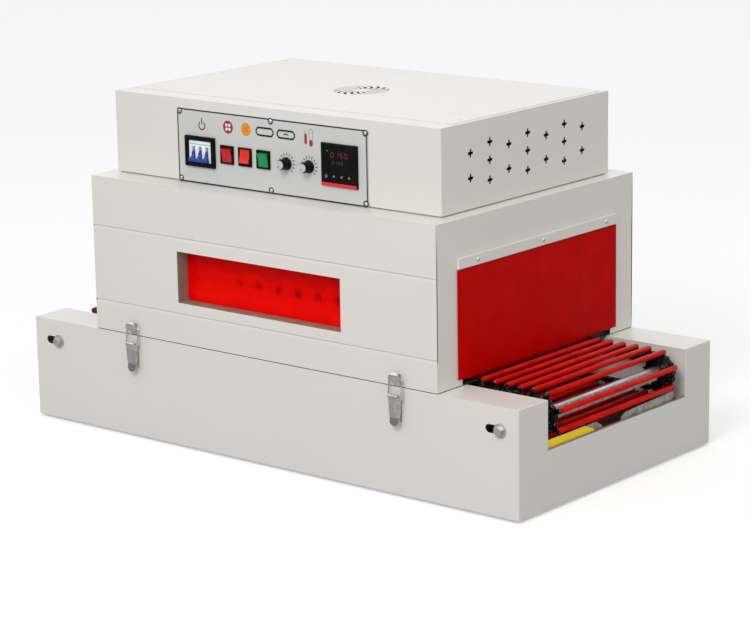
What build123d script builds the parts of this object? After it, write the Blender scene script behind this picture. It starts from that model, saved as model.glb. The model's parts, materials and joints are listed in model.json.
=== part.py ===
from build123d import *
import math
import os

os.makedirs("parts", exist_ok=True)

# Tabletop heat shrink machine, in millimetres. X runs along the conveyor, Y from the
# operator's side to the back, Z up from the surface that the feet stand on. The origin
# is in the middle of the footprint.

# Base cabinet
base_length = 1000.0
base_width = 511.0
base_height = 168.0
foot_height = 4.0
foot_radius = 12.0
foot_inset = 22.0
base_sheet = 2.0
ledge_width = 72.0
notch_height = 91.0

# Conveyor chain, sprockets and rollers
chain_pitch = 12.0
sprocket_teeth = 14
idler_from_left_end = base_length - 34.0
drive_from_left_end = 54.0
straight_pitches = int((idler_from_left_end - drive_from_left_end) / chain_pitch)
shaft_below_ledge = 35.5
shaft_height = base_height - shaft_below_ledge
shaft_radius = 10.0
shaft_running_gap = 0.5
first_roller_angle = 19.2
roller_lift = 9.3
roller_radius = 4.3
chain_seat = 0.2
chain_width = 8.0
chain_from_channel = 21.8
roller_length = base_width - 2 * (ledge_width + chain_from_channel + chain_width + chain_seat)
chain_plate = 1.4
chain_roller_radius = 3.5
plate_half_height = 4.4
plate_waist = 3.2
tab_thickness = 2.5
tab_half_width = 4.0
tab_top = 3.2
sprocket_thickness = 5.0
bore_gap = 0.02
rail_thickness = 2.0
rail_gap = 0.3
tray_sheet = 1.5
tray_lip = 12.0
tray_below_rollers = 5.0

# Shaft bolts in their slots
slot_length = 36.0
slot_height = 13.0
slot_end_margin = 25.0
bolt_hex = 13.0
bolt_head_height = 6.0
washer_radius = 11.0
washer_thickness = 2.0

# Hood over the tunnel
hood_from_left_end = 145.5
hood_from_right_end = 149.0
hood_length = base_length - hood_from_left_end - hood_from_right_end
hood_height = 254.8
hood_sheet = 1.5
crease_depth = 2.2
crease_above = 1.4
crease_below = 6.4
upper_crease = 173.0
lower_crease = 50.0
opening_beyond_ledge = 10.5
opening_width = base_width - 2 * ledge_width + 2 * opening_beyond_ledge
opening_height = 170.0
liner_sheet = 1.2
liner_margin = 4.0
liner_above_opening = 34.0
window_length = 337.0
window_height = 83.4
window_sill = 67.8
glass_depth = 24.0
glass_thickness = 4.0
window_frame_sheet = 1.5
heater_tube_radius = 6.0
heater_tube_count = 4
heater_end_block = 14.0

# Curtains at both ends of the tunnel
curtain_lap = 12.0
curtain_width = opening_width + 2 * curtain_lap
curtain_thickness = 2.0
hem_radius = 1.2
strip_height = 16.5
strip_thickness = 4.5
strip_bottom = 180.0
curtain_over_rollers = 5.0
seat_gap = 0.3

# Control box on the hood
box_from_hood_left = 16.0
box_from_hood_right = 24.5
box_length = hood_length - box_from_hood_left - box_from_hood_right
box_from_front = 46.3
box_from_rear = 33.7
box_width = base_width - box_from_front - box_from_rear
box_height = 131.3
box_plinth = 2.0
box_plinth_inset = 4.0
box_sheet = 1.5
lid_side_margin = 8.0
lid_front_margin = 39.0
lid_rear_margin = 18.0
lid_sheet = 1.5
flange_under_lid = 14.0
cross_size = 13.0
cross_arm = 4.5
cross_columns = 7
cross_column_pitch = 48.0
cross_rows_two = (46.5, 84.2)
cross_rows_three = (36.7, 67.2, 94.7)
vent_from_box_left = 337.5
vent_outer_radius = 48.5
vent_inner_radius = 17.0
vent_slots = 16
vent_slot_width = 4.5
vent_slot_sweep = 28.0

# Control panel and its devices
panel_from_box_left = 137.5
panel_length = 389.5
panel_height = 118.0
panel_thickness = 2.0
breaker_from_panel_left = 19.0
breaker_length = 62.0
breaker_height = 48.7
breaker_above_panel = 27.5
breaker_projection = 5.0
breaker_depth = 30.0
breaker_border = 7.0
breaker_face_recess = 2.5
handle_radius = 4.0
handle_bar_length = 40.0
rocker_bezel_length = 27.0
rocker_bezel_height = 29.0
rocker_bezel_projection = 3.0
rocker_length = 19.5
rocker_height = 21.5
rocker_angle = 12.0
rocker_pin_radius = 1.2
rocker_pin_gap = 0.08
rocker_from_panel_left = (106.2, 143.8, 181.9)
rocker_above_panel = 52.4
knob_radius = 10.0
knob_height = 16.0
knob_from_panel_left = (228.7, 274.2)
knob_above_panel = 51.0
controller_from_panel_left = 300.2
controller_length = 71.5
controller_height = 66.2
controller_above_panel = 25.7
controller_projection = 4.0

# Draw latches between hood and base
latch_from_hood_left = 85.2
latch_from_hood_right = 74.8
latch_pivot_below_seam = 13.5
latch_pivot_out = 8.2
latch_throw = 3.2
wire_radius = 1.2
latch_pin_radius = 1.2
latch_pin_gap = 0.08
latch_sheet = 1.2
latch_base_length = 39.0
latch_ear_radius = 1.95
lever_half_width = 9.3
lever_taper = 0.4
lever_length = 44.5
lever_crease = 32.0
lever_roll_radius = 2.4
web_offset = 2.5
bail_half_width = 12.4
bail_corner = 1.6
hook_above_seam = 15.8
hook_out = 4.6
hook_gap = 0.6
hook_half_width = 10.2
hook_dome_height = 8.2
hook_tab_half_width = 6.5
latch_side_gap = 0.4


def slab(low, high):
    """A rectangular block between two corners."""
    size = [b - a for a, b in zip(low, high)]
    middle = [(a + b) / 2 for a, b in zip(low, high)]
    return Pos(*middle) * Box(*size)


def extruded_along_x(outline, x_low, x_high):
    """A closed outline of (y, z) points, extruded between two x places."""
    face = make_face(Plane.YZ.offset(x_low) * Polyline(*outline, close=True))
    return extrude(face, x_high - x_low, dir=(1, 0, 0))


def extruded_along_y(outline, y_low, y_high):
    """A closed outline of (x, z) points, extruded between two y places."""
    face = make_face(Plane.XZ.offset(-y_low) * Polyline(*outline, close=True))
    return extrude(face, y_high - y_low, dir=(0, 1, 0))


def rod_along_x(radius, x_low, x_high, y, z):
    """A round rod parallel to X."""
    return Pos((x_low + x_high) / 2, y, z) * Rot(0, 90, 0) * Cylinder(radius, x_high - x_low)


def rod_along_y(radius, y_low, y_high, x, z):
    """A round rod parallel to Y."""
    return Pos(x, (y_low + y_high) / 2, z) * Rot(90, 0, 0) * Cylinder(radius, y_high - y_low)


def on_both_sides(shape):
    """A piece at the front and its mirror image at the back."""
    return [shape, mirror(shape, about=Plane.XZ)]


def save(node, solids):
    """Write one node as a STEP file."""
    pieces = solids if isinstance(solids, list) else [solids]
    flat = [solid for piece in pieces for solid in piece.solids()]
    shape = flat[0] if len(flat) == 1 else Compound(children=flat)
    export_step(shape, "parts/" + node + ".step")


# Places that follow from the sizes above

sprocket_pitch_radius = chain_pitch / (2 * math.sin(math.pi / sprocket_teeth))
roller_orbit = sprocket_pitch_radius + roller_lift
wrap_step = 2 * math.pi / sprocket_teeth


def loop_point(pitches, lift):
    """Place on the chain loop, as x from the idler shaft and z from the shafts' height.

    The count of pitches starts on the idler's top and grows towards the drive shaft.
    """
    loop = 2 * straight_pitches + sprocket_teeth
    along = pitches % loop
    half_wrap = sprocket_teeth / 2
    if along < straight_pitches:
        angle = math.pi / 2
        centre = -along * chain_pitch
    elif along < straight_pitches + half_wrap:
        angle = math.pi / 2 + (along - straight_pitches) * wrap_step
        centre = -straight_pitches * chain_pitch
    elif along < 2 * straight_pitches + half_wrap:
        angle = -math.pi / 2
        centre = (along - 2 * straight_pitches - half_wrap) * chain_pitch
    else:
        angle = -math.pi / 2 + (along - 2 * straight_pitches - half_wrap) * wrap_step
        centre = 0.0
    radius = sprocket_pitch_radius + lift
    return centre + radius * math.cos(angle), radius * math.sin(angle), angle


roller_count = (2 * straight_pitches + sprocket_teeth) // 2
first_roller = -(90.0 - first_roller_angle) / math.degrees(wrap_step)
first_pin = first_roller - 0.5
roller_pitches = [first_roller + 2 * number for number in range(roller_count)]
roller_points = [loop_point(place, roller_lift) for place in roller_pitches]
roller_tip = idler_from_left_end + max(point[0] for point in roller_points) + roller_radius

left_end = -max(roller_tip, base_length) / 2
right_end = left_end + base_length
front = -base_width / 2
rear = base_width / 2
base_bottom = foot_height
base_top = foot_height + base_height
notch_floor = base_bottom + notch_height
ledge_inner = front + ledge_width
idler_x = left_end + idler_from_left_end
drive_x = idler_x - straight_pitches * chain_pitch
shaft_z = base_bottom + shaft_height
slot_centres = (left_end + slot_end_margin + slot_length / 2, right_end - slot_end_margin - slot_length / 2)
shaft_places = (drive_x, idler_x)


# Base cabinet: two folded side channels, two notched end plates, a floor pan and feet

def side_channel():
    """The front channel, open below, folded from one sheet."""
    t = base_sheet
    outline = [
        (front, base_bottom), (front, base_top), (ledge_inner, base_top),
        (ledge_inner, base_bottom + t), (ledge_inner - t, base_bottom + t),
        (ledge_inner - t, base_top - t), (front + t, base_top - t), (front + t, base_bottom),
    ]
    channel = extruded_along_x(outline, left_end + base_sheet, right_end - base_sheet)
    for centre in slot_centres:
        slot = Plane.XZ.offset(-front - t - 1) * SlotOverall(slot_length, slot_height)
        channel -= extrude(Pos(centre, 0, shaft_z) * slot, t + 2)
        passage = 2 * (shaft_radius + shaft_running_gap)
        slot = Plane.XZ.offset(-ledge_inner - 1) * SlotOverall(slot_length + 8.0, passage)
        channel -= extrude(Pos(centre, 0, shaft_z) * slot, t + 2)
    return channel


def end_plate(x_low):
    """An end plate with the notch that the conveyor runs through."""
    outline = [
        (front, base_bottom), (rear, base_bottom), (rear, base_top), (-ledge_inner, base_top),
        (-ledge_inner, notch_floor), (ledge_inner, notch_floor), (ledge_inner, base_top), (front, base_top),
    ]
    return extruded_along_x(outline, x_low, x_low + base_sheet)


front_channel = side_channel()
save("front_side_channel", front_channel)
save("rear_side_channel", mirror(front_channel, about=Plane.XZ))
save("left_end_plate", end_plate(left_end))
save("right_end_plate", end_plate(right_end - base_sheet))
save("floor_pan", slab(
    (left_end + base_sheet, front + base_sheet, base_bottom),
    (right_end - base_sheet, rear - base_sheet, base_bottom + base_sheet)))

foot_places = [
    (x, y)
    for x in (left_end + foot_inset, (left_end + right_end) / 2, right_end - foot_inset)
    for y in (front + foot_inset, rear - foot_inset)
]
save("feet", [
    Pos(x, y, foot_height / 2) * Cone(foot_radius * 0.85, foot_radius, foot_height)
    for x, y in foot_places
])


# Conveyor: shafts, sprockets, chains with upright tabs, and sleeved rollers between them

chain_inner = roller_length / 2 + chain_seat
chain_outer = chain_inner + chain_width
chain_middle = (chain_inner + chain_outer) / 2
shaft_half = base_width / 2 - base_sheet

save("conveyor_shafts", [
    rod_along_y(shaft_radius, -shaft_half, shaft_half, x, shaft_z) for x in shaft_places
])


def sprocket_outline():
    """Root, flank and tip points of the toothed wheel, as (x, z) about its centre."""
    root = sprocket_pitch_radius - chain_roller_radius
    tip = sprocket_pitch_radius + 1.0
    points = []
    for tooth in range(sprocket_teeth):
        start = math.pi / 2 + (first_pin + tooth) * wrap_step
        for share, radius in ((-0.28, root), (0.28, root), (0.42, tip), (0.58, tip)):
            angle = start + share * wrap_step
            points.append((radius * math.cos(angle), radius * math.sin(angle)))
    return points


def sprocket(x, y):
    """One sprocket seated on its shaft."""
    outline = [(x + px, shaft_z + pz) for px, pz in sprocket_outline()]
    half = sprocket_thickness / 2
    wheel = extruded_along_y(outline, y - half, y + half)
    return wheel - rod_along_y(shaft_radius + bore_gap, y - half - 1, y + half + 1, x, shaft_z)


def chain_outer_edge():
    """The scalloped outer edge of the link plates, as (x, z) points round the loop."""
    edge = []
    for link in range(2 * straight_pitches + sprocket_teeth):
        for share, height in ((0.0, plate_half_height), (0.5, plate_waist)):
            x, z, _ = loop_point(first_pin + link + share, height)
            edge.append((idler_x + x, shaft_z + z))
    return edge


def chain_inner_edge():
    """The inner edge of the link plates, smooth round both sprockets."""
    edge = []
    radius = sprocket_pitch_radius - plate_half_height
    corner_count = 10
    for shaft_x, first_angle in ((idler_x, -math.pi / 2), (drive_x, math.pi / 2)):
        for corner in range(corner_count + 1):
            angle = first_angle + math.pi * corner / corner_count
            edge.append((shaft_x + radius * math.cos(angle), shaft_z + radius * math.sin(angle)))
    return edge


def chain_loop():
    """The front chain: two rows of plates, its rollers, and an upright tab at each sleeve."""
    chain = None
    for low in (-chain_outer, -chain_inner - chain_plate):
        plates = extruded_along_y(chain_outer_edge(), low, low + chain_plate)
        plates -= extruded_along_y(chain_inner_edge(), low - 1, low + chain_plate + 1)
        chain = plates if chain is None else chain + plates
    between = (-chain_outer + chain_plate, -chain_inner - chain_plate)
    core = chain_roller_radius - 1.0
    for z in (shaft_z + sprocket_pitch_radius, shaft_z - sprocket_pitch_radius):
        chain += slab(
            (drive_x + 1.5 * chain_pitch, between[0], z - core),
            (idler_x - 1.5 * chain_pitch, between[1], z + core))
    extras = []
    for link in range(2 * straight_pitches + sprocket_teeth):
        x, z, _ = loop_point(first_pin + link, 0.0)
        if not -(straight_pitches - 1.2) * chain_pitch < x < -1.2 * chain_pitch:
            extras.append(rod_along_y(chain_roller_radius, *between, idler_x + x, shaft_z + z))
    for x, z, angle in roller_points:
        low = plate_waist - 1.5 - roller_lift
        tab = Box(tab_top - low, tab_thickness, 2 * tab_half_width)
        tab = Pos((tab_top + low) / 2, 0, 0) * tab
        place = Pos(idler_x + x, -chain_inner - tab_thickness / 2, shaft_z + z)
        extras.append(place * Rot(0, -math.degrees(angle), 0) * tab)
    return chain.fuse(*extras)


front_chain = chain_loop()
save("front_chain", front_chain)
save("rear_chain", mirror(front_chain, about=Plane.XZ))
save("conveyor_rollers", [
    rod_along_y(roller_radius, -roller_length / 2, roller_length / 2, idler_x + x, shaft_z + z)
    for x, z, _ in roller_points
])


# Rails that carry the top run, the tray below the bottom run, and the clamped shaft ends

rail_half = sprocket_pitch_radius + plate_half_height
rail_top = shaft_z + sprocket_pitch_radius - plate_half_height - rail_gap


def chain_rail():
    """An angle under the front chain's top run, screwed to the channel's inner wall."""
    rail_depth = 18.0
    outline = [
        (ledge_inner, rail_top), (-chain_inner, rail_top), (-chain_inner, rail_top - rail_thickness),
        (ledge_inner + rail_thickness, rail_top - rail_thickness),
        (ledge_inner + rail_thickness, rail_top - rail_depth), (ledge_inner, rail_top - rail_depth),
    ]
    return extruded_along_x(outline, drive_x + rail_half, idler_x - rail_half)


save("chain_rails", on_both_sides(chain_rail()))

tray_top = shaft_z - roller_orbit - roller_radius - tray_below_rollers


def chain_tray():
    """A shallow tray under the bottom run, with an upturned lip behind each end plate."""
    t = tray_sheet
    low = left_end + base_sheet
    high = right_end - base_sheet
    lip = tray_top + tray_lip
    outline = [
        (low, tray_top - t), (high, tray_top - t), (high, lip), (high - t, lip),
        (high - t, tray_top), (low + t, tray_top), (low + t, lip), (low, lip),
    ]
    return extruded_along_y(outline, ledge_inner, -ledge_inner)


save("chain_tray", chain_tray())


def shaft_bolt(x):
    """A hexagon bolt and its washer, clamping a shaft end from the front."""
    washer = rod_along_y(washer_radius, front - washer_thickness, front, x, shaft_z)
    head = Plane.XZ.offset(-front + washer_thickness) * RegularPolygon(bolt_hex / 2, 6, major_radius=False)
    head = extrude(Pos(x, 0, shaft_z) * head, bolt_head_height)
    shank = rod_along_y(slot_height * 0.3, front, front + base_sheet, x, shaft_z)
    return washer + head + shank


save("shaft_bolts", [side for x in shaft_places for side in on_both_sides(shaft_bolt(x))])
save("sprockets", [
    side
    for x in shaft_places
    for side in on_both_sides(sprocket(x, -chain_middle))
])


# Hood: creased front and back walls, end walls, roof, and the lined tunnel inside

hood_left = left_end + hood_from_left_end
hood_right = hood_left + hood_length
hood_top = base_top + hood_height
hood_middle = (hood_left + hood_right) / 2
hood_walls_top = hood_top - hood_sheet
liner_inner = opening_width / 2 + liner_margin
liner_outer = liner_inner + liner_sheet
liner_ceiling = base_top + opening_height + liner_above_opening
window_low = base_top + window_sill
window_high = window_low + window_height
window_left = hood_middle - window_length / 2
window_right = hood_middle + window_length / 2


def creased_wall():
    """The front wall, a sheet with two pressed creases along its whole length."""
    outline = [(front, base_top)]
    for crease in (lower_crease, upper_crease):
        z = base_top + crease
        outline.append((front, z - crease_below))
        outline.append((front + crease_depth, z))
        outline.append((front, z + crease_above))
    outline.append((front, hood_walls_top))
    outline.append((front + hood_sheet, hood_walls_top))
    for crease in (upper_crease, lower_crease):
        z = base_top + crease
        outline.append((front + hood_sheet, z + crease_above))
        outline.append((front + hood_sheet + crease_depth, z))
        outline.append((front + hood_sheet, z - crease_below))
    outline.append((front + hood_sheet, base_top))
    return extruded_along_x(outline, hood_left, hood_right)


def window_hole(y_low, y_high):
    """The block that the window takes out of a wall."""
    return slab((window_left, y_low, window_low), (window_right, y_high, window_high))


def hood_end_wall(x_low):
    """An end wall with the tunnel's mouth and a notch at each crease."""
    inside = front + hood_sheet
    mouth = opening_width / 2
    mouth_top = base_top + opening_height
    edge = [(inside, base_top)]
    for crease in (lower_crease, upper_crease):
        z = base_top + crease
        edge += [
            (inside, z - crease_below), (inside + crease_depth, z), (inside, z + crease_above)]
    edge.append((inside, hood_walls_top))
    outline = [(-mouth, base_top), (-mouth, mouth_top), (mouth, mouth_top), (mouth, base_top)]
    outline += [(-y, z) for y, z in edge]
    outline += edge[::-1]
    return extruded_along_x(outline, x_low, x_low + hood_sheet)


def chamber_liner():
    """Two side walls and a ceiling folded from one sheet, with the window cut through."""
    outline = [
        (-liner_outer, base_top), (-liner_outer, liner_ceiling + liner_sheet),
        (liner_outer, liner_ceiling + liner_sheet), (liner_outer, base_top),
        (liner_inner, base_top), (liner_inner, liner_ceiling),
        (-liner_inner, liner_ceiling), (-liner_inner, base_top),
    ]
    liner = extruded_along_x(outline, hood_left + hood_sheet, hood_right - hood_sheet)
    return liner - window_hole(-liner_outer - 1, -liner_inner + 1)


wall = creased_wall()
save("hood_front_wall", wall - window_hole(front - 1, front + hood_sheet + crease_depth + 1))
save("hood_rear_wall", mirror(wall, about=Plane.XZ))
save("hood_left_end_wall", hood_end_wall(hood_left))
save("hood_right_end_wall", hood_end_wall(hood_right - hood_sheet))
save("hood_roof", slab((hood_left, front, hood_walls_top), (hood_right, rear, hood_top)))
save("chamber_liner", chamber_liner())

t = window_frame_sheet
sleeve = slab(
    (window_left - t, front + hood_sheet, window_low - t),
    (window_right + t, -liner_outer, window_high + t))
save("window_frame", sleeve - window_hole(front, -liner_inner))
save("window_glass", slab(
    (window_left + seat_gap, front + glass_depth, window_low + seat_gap),
    (window_right - seat_gap, front + glass_depth + glass_thickness, window_high - seat_gap)))


def heater_tube(x):
    """A quartz tube across the chamber under its ceiling, with a ceramic block at each end."""
    z = liner_ceiling - heater_end_block
    tube = rod_along_y(heater_tube_radius, -liner_inner, liner_inner, x, z)
    half = heater_end_block
    block = slab((x - half, -liner_inner, z - half), (x + half, -liner_inner + half, liner_ceiling))
    return tube + block + mirror(block, about=Plane.XZ)


heater_pitch = hood_length / (heater_tube_count + 1)
save("heater_tubes", [
    heater_tube(hood_left + heater_pitch * (number + 1)) for number in range(heater_tube_count)
])

curtain_top = base_top + strip_bottom - seat_gap - hem_radius
curtain_bottom = shaft_z + roller_orbit + roller_radius + curtain_over_rollers
half_curtain = curtain_width / 2


def curtain():
    """The right curtain, hanging outside the end wall from a hem under its clamp strip."""
    x = hood_right + seat_gap + hem_radius
    half = curtain_thickness / 2
    sheet = slab((x - half, -half_curtain, curtain_bottom), (x + half, half_curtain, curtain_top))
    return sheet + rod_along_y(hem_radius, -half_curtain, half_curtain, x, curtain_top)


def clamp_strip():
    """The bar that clamps the right curtain to the end wall."""
    low = base_top + strip_bottom
    return slab((hood_right, -half_curtain, low), (hood_right + strip_thickness, half_curtain, low + strip_height))


def at_left_end(shape):
    """The same piece mirrored to the hood's other end."""
    return mirror(shape, about=Plane.YZ.offset(hood_middle))


save("right_curtain", curtain())
save("left_curtain", at_left_end(curtain()))
save("curtain_strips", [clamp_strip(), at_left_end(clamp_strip())])


# Control box: a vented shell under a screwed lid with a swirl vent

box_left = hood_left + box_from_hood_left
box_right = box_left + box_length
box_front = front + box_from_front
box_rear = box_front + box_width
box_low = hood_top + box_plinth
box_high = box_low + box_height
box_middle_y = (box_front + box_rear) / 2
lid_left = box_left + lid_side_margin
lid_right = box_right - lid_side_margin
lid_front = box_front + lid_front_margin
lid_rear = box_rear - lid_rear_margin
panel_left = box_left + panel_from_box_left
panel_low = hood_top + seat_gap
panel_face = box_front - panel_thickness


def cross_outline(y, z):
    """A cross-shaped hole about one place on the side wall."""
    long = cross_size / 2
    short = cross_arm / 2
    quarter = [(long, -short), (long, short), (short, short), (short, long)]
    points = []
    for turn in range(4):
        cosine, sine = ((1, 0), (0, 1), (-1, 0), (0, -1))[turn]
        for a, b in quarter[:3]:
            points.append((y + a * cosine - b * sine, z + a * sine + b * cosine))
    return points


def cross_holes():
    """The staggered pattern of crosses, cut through both side walls."""
    holes = []
    for column in range(cross_columns):
        y = box_middle_y + (column - (cross_columns - 1) / 2) * cross_column_pitch
        rows = cross_rows_two if column % 2 == 0 else cross_rows_three
        for row in rows:
            holes.append(extruded_along_x(cross_outline(y, box_low + row), box_left - 1, box_right + 1))
    return holes


def device_holes():
    """The holes that the devices pass through, in the panel and the wall behind it."""
    depth = (panel_face - 1, box_front + box_sheet + 1)
    holes = []
    for place in rocker_from_panel_left:
        x = panel_left + place
        z = panel_low + rocker_above_panel
        half = rocker_hole_length / 2
        tall = rocker_hole_height / 2
        holes.append(slab((x - half, depth[0], z - tall), (x + half, depth[1], z + tall)))
    holes.append(slab(
        (breaker_left + breaker_border, depth[0], breaker_low + breaker_border),
        (breaker_right - breaker_border, depth[1], breaker_high - breaker_border)))
    return holes


def box_shell():
    """The folded shell, open on top between the flanges that carry the lid."""
    s = box_sheet
    shell = slab((box_left, box_front, box_low), (box_right, box_rear, box_high))
    shell -= slab((box_left + s, box_front + s, box_low + s), (box_right - s, box_rear - s, box_high - s))
    f = flange_under_lid
    shell -= slab((lid_left + f, lid_front + f, box_high - s - 1), (lid_right - f, lid_rear - f, box_high + 1))
    i = box_plinth_inset
    shell += slab((box_left + i, box_front + i, hood_top), (box_right - i, box_rear - i, box_low))
    for hole in cross_holes() + device_holes():
        shell -= hole
    return shell


def swirl_slot(angle):
    """One curved slot of the vent, from its inner to its outer circle."""
    places = []
    for share in (0.0, 0.5, 1.0):
        radius = vent_inner_radius + share * (vent_outer_radius - vent_inner_radius - vent_slot_width)
        turned = math.radians(angle + vent_slot_sweep * share * share)
        places.append((radius * math.cos(turned), radius * math.sin(turned)))
    return SlotArc(ThreePointArc(*places), vent_slot_width)


def box_lid():
    """The lid sheet with its swirl of slots."""
    lid = slab((lid_left, lid_front, box_high), (lid_right, lid_rear, box_high + lid_sheet))
    middle = Pos(box_left + vent_from_box_left, box_middle_y, box_high - 1)
    for slot in range(vent_slots):
        lid -= middle * extrude(swirl_slot(360 * slot / vent_slots), lid_sheet + 2)
    return lid


breaker_left = panel_left + breaker_from_panel_left
breaker_right = breaker_left + breaker_length
breaker_low = panel_low + breaker_above_panel
breaker_high = breaker_low + breaker_height
rocker_cavity_height = rocker_height + 3.1
rocker_cavity_length = rocker_length + 1.0
rocker_hole_length = rocker_cavity_length + 3.0
rocker_hole_height = rocker_cavity_height + 1.6
rocker_body_depth = 16.0
rocker_pivot_y = panel_face + 2.0
rocker_z = panel_low + rocker_above_panel

save("control_box_shell", box_shell())
save("control_box_lid", box_lid())

plate = slab((panel_left, panel_face, panel_low), (panel_left + panel_length, box_front, panel_low + panel_height))
for hole in device_holes():
    plate -= hole
save("control_panel", plate)


# Devices on the panel: three rocker switches, a three-pole breaker, two knobs, a controller

def rocker_bezel(x):
    """A black bezel with the open body that its rocker turns in."""
    y = panel_face
    half = rocker_bezel_length / 2
    tall = rocker_bezel_height / 2
    bezel = slab((x - half, y - rocker_bezel_projection, rocker_z - tall), (x + half, y, rocker_z + tall))
    half = rocker_hole_length / 2 - 0.2
    tall = rocker_hole_height / 2 - 0.2
    bezel += slab((x - half, y, rocker_z - tall), (x + half, y + rocker_body_depth, rocker_z + tall))
    half = rocker_cavity_length / 2
    tall = rocker_cavity_height / 2
    bezel -= slab(
        (x - half, y - rocker_bezel_projection - 1, rocker_z - tall),
        (x + half, y + rocker_body_depth - 2, rocker_z + tall))
    return bezel + rod_along_x(rocker_pin_radius, x - half, x + half, rocker_pivot_y, rocker_z)


def rocker(x, tilt):
    """A rocker with a shallow hollow across its face, tilted to one of its two rests."""
    tall = rocker_height / 2
    outline = [
        (-6.5, tall), (-5.2, 0.0), (-6.5, -tall), (1.0, -tall), (6.0, -3.0), (6.0, 3.0), (1.0, tall),
    ]
    half = rocker_length / 2
    body = extruded_along_x(outline, -half, half)
    body -= rod_along_x(rocker_pin_radius + rocker_pin_gap, -half - 1, half + 1, 0, 0)
    return Pos(x, rocker_pivot_y, rocker_z) * Rot(tilt, 0, 0) * body


rocker_x = [panel_left + place for place in rocker_from_panel_left]
rocker_tilts = (rocker_angle, -rocker_angle, rocker_angle)
save("rocker_bezels", [rocker_bezel(x) for x in rocker_x])
for name, x, tilt in zip(("fan_rocker", "heater_rocker", "conveyor_rocker"), rocker_x, rocker_tilts):
    save(name, rocker(x, tilt))

breaker_face = panel_face - breaker_projection + breaker_face_recess
breaker_axis_y = breaker_face + 3.0
breaker_axis_z = (breaker_low + breaker_high) / 2 - 4.0
handle_reach = 12.0
handle_rest_angle = 50.0
handle_lever_half = 3.0
handle_pin_radius = 1.5
pole_pitch = 14.0


def breaker_frame():
    """The black frame round the breaker's face."""
    frame = slab(
        (breaker_left, panel_face - breaker_projection, breaker_low),
        (breaker_right, panel_face, breaker_high))
    b = breaker_border
    return frame - slab(
        (breaker_left + b, panel_face - breaker_projection - 1, breaker_low + b),
        (breaker_right - b, panel_face + 1, breaker_high - b))


def breaker_body():
    """The breaker behind the frame, with three slots for its levers."""
    b = breaker_border + seat_gap
    body = slab(
        (breaker_left + b, breaker_face, breaker_low + b),
        (breaker_right - b, box_front + breaker_depth, breaker_high - b))
    middle = (breaker_left + breaker_right) / 2
    for pole in (-1, 0, 1):
        x = middle + pole * pole_pitch
        body -= slab(
            (x - handle_lever_half - seat_gap, breaker_face - 1, breaker_axis_z - 12.0),
            (x + handle_lever_half + seat_gap, breaker_face + 14.0, breaker_axis_z + 12.0))
    end = pole_pitch + 2 * handle_lever_half
    return body + rod_along_x(handle_pin_radius, middle - end, middle + end, breaker_axis_y, breaker_axis_z)


def breaker_handle():
    """Three short levers joined by one bar, shown down."""
    middle = (breaker_left + breaker_right) / 2
    half = handle_bar_length / 2
    handle = rod_along_x(handle_radius - 1.0, middle - half, middle + half, -handle_reach, 0)
    for pole in (-1, 0, 1):
        x = middle + pole * pole_pitch
        low = x - handle_lever_half
        high = x + handle_lever_half
        handle += slab((low, -handle_reach, -2.5), (high, 0, 2.5))
        handle += rod_along_x(5.0, low, high, 0, 0)
    handle -= rod_along_x(handle_pin_radius + latch_pin_gap, middle - 2 * half, middle + 2 * half, 0, 0)
    return Pos(0, breaker_axis_y, breaker_axis_z) * Rot(handle_rest_angle, 0, 0) * handle


save("breaker_frame", breaker_frame())
save("breaker_body", breaker_body())
save("breaker_handle", breaker_handle())


def knob(place):
    """A turned knob with a skirt, a gripped body and a raised cap."""
    h = knob_height
    r = knob_radius
    outline = [
        (0, 0), (r, 0), (r, 2.5), (r * 0.84, 3.5), (r * 0.8, h - 1), (r * 0.72, h),
        (r * 0.6, h), (r * 0.6, h + 0.5), (0, h + 0.5),
    ]
    turned = revolve(make_face(Plane.XZ * Polyline(*outline, close=True)), Axis.Z)
    x = panel_left + place
    z = panel_low + knob_above_panel
    return Pos(x, panel_face - seat_gap, z) * Rot(90, 0, 0) * turned


for name, place in zip(("speed_knob", "fan_knob"), knob_from_panel_left):
    save(name, knob(place))


def temperature_controller():
    """A square panel controller with a rounded bezel and a sunk display."""
    x = panel_left + controller_from_panel_left
    z = panel_low + controller_above_panel
    y = panel_face - controller_projection
    case = slab((x, y, z), (x + controller_length, panel_face, z + controller_height))
    case = chamfer(case.edges().group_by(Axis.Y)[0], 1.2)
    rim = 4.0
    return case - slab(
        (x + rim, y - 1, z + controller_height * 0.3),
        (x + controller_length - rim, y + 0.8, z + controller_height - rim))


save("temperature_controller", temperature_controller())


# Draw latches: base and catch fixed, a lever on the base and a wire bail on the lever

seam = base_top
pivot_z = seam - latch_pivot_below_seam
hook_z = seam + hook_above_seam
hook_inner = latch_throw + wire_radius + hook_gap
hook_outer = hook_inner + latch_sheet
flange_outer = lever_half_width
flange_inner = flange_outer - latch_sheet
ear_outer = flange_inner - latch_side_gap
ear_inner = ear_outer - latch_sheet
latch_x = (hood_left + latch_from_hood_left, hood_right - latch_from_hood_right)


def out_profile(points, x_low, x_high):
    """An outline given as (distance out from the front face, z), extruded along X."""
    return extruded_along_x([(front - out, z) for out, z in points], x_low, x_high)


def from_pivot(points, x_low, x_high):
    """An outline measured from the lever's pin, extruded along X."""
    return out_profile([(latch_pivot_out + out, pivot_z + up) for out, up in points], x_low, x_high)


def seen_from_front(edges, depth):
    """A face drawn as edges of (x, z), extruded outwards from inside the front wall."""
    plane = Plane.XZ.offset(-(front + 1))
    face = make_face([plane * edge for edge in edges])
    return extrude(face, depth, dir=(0, -1, 0))


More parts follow.
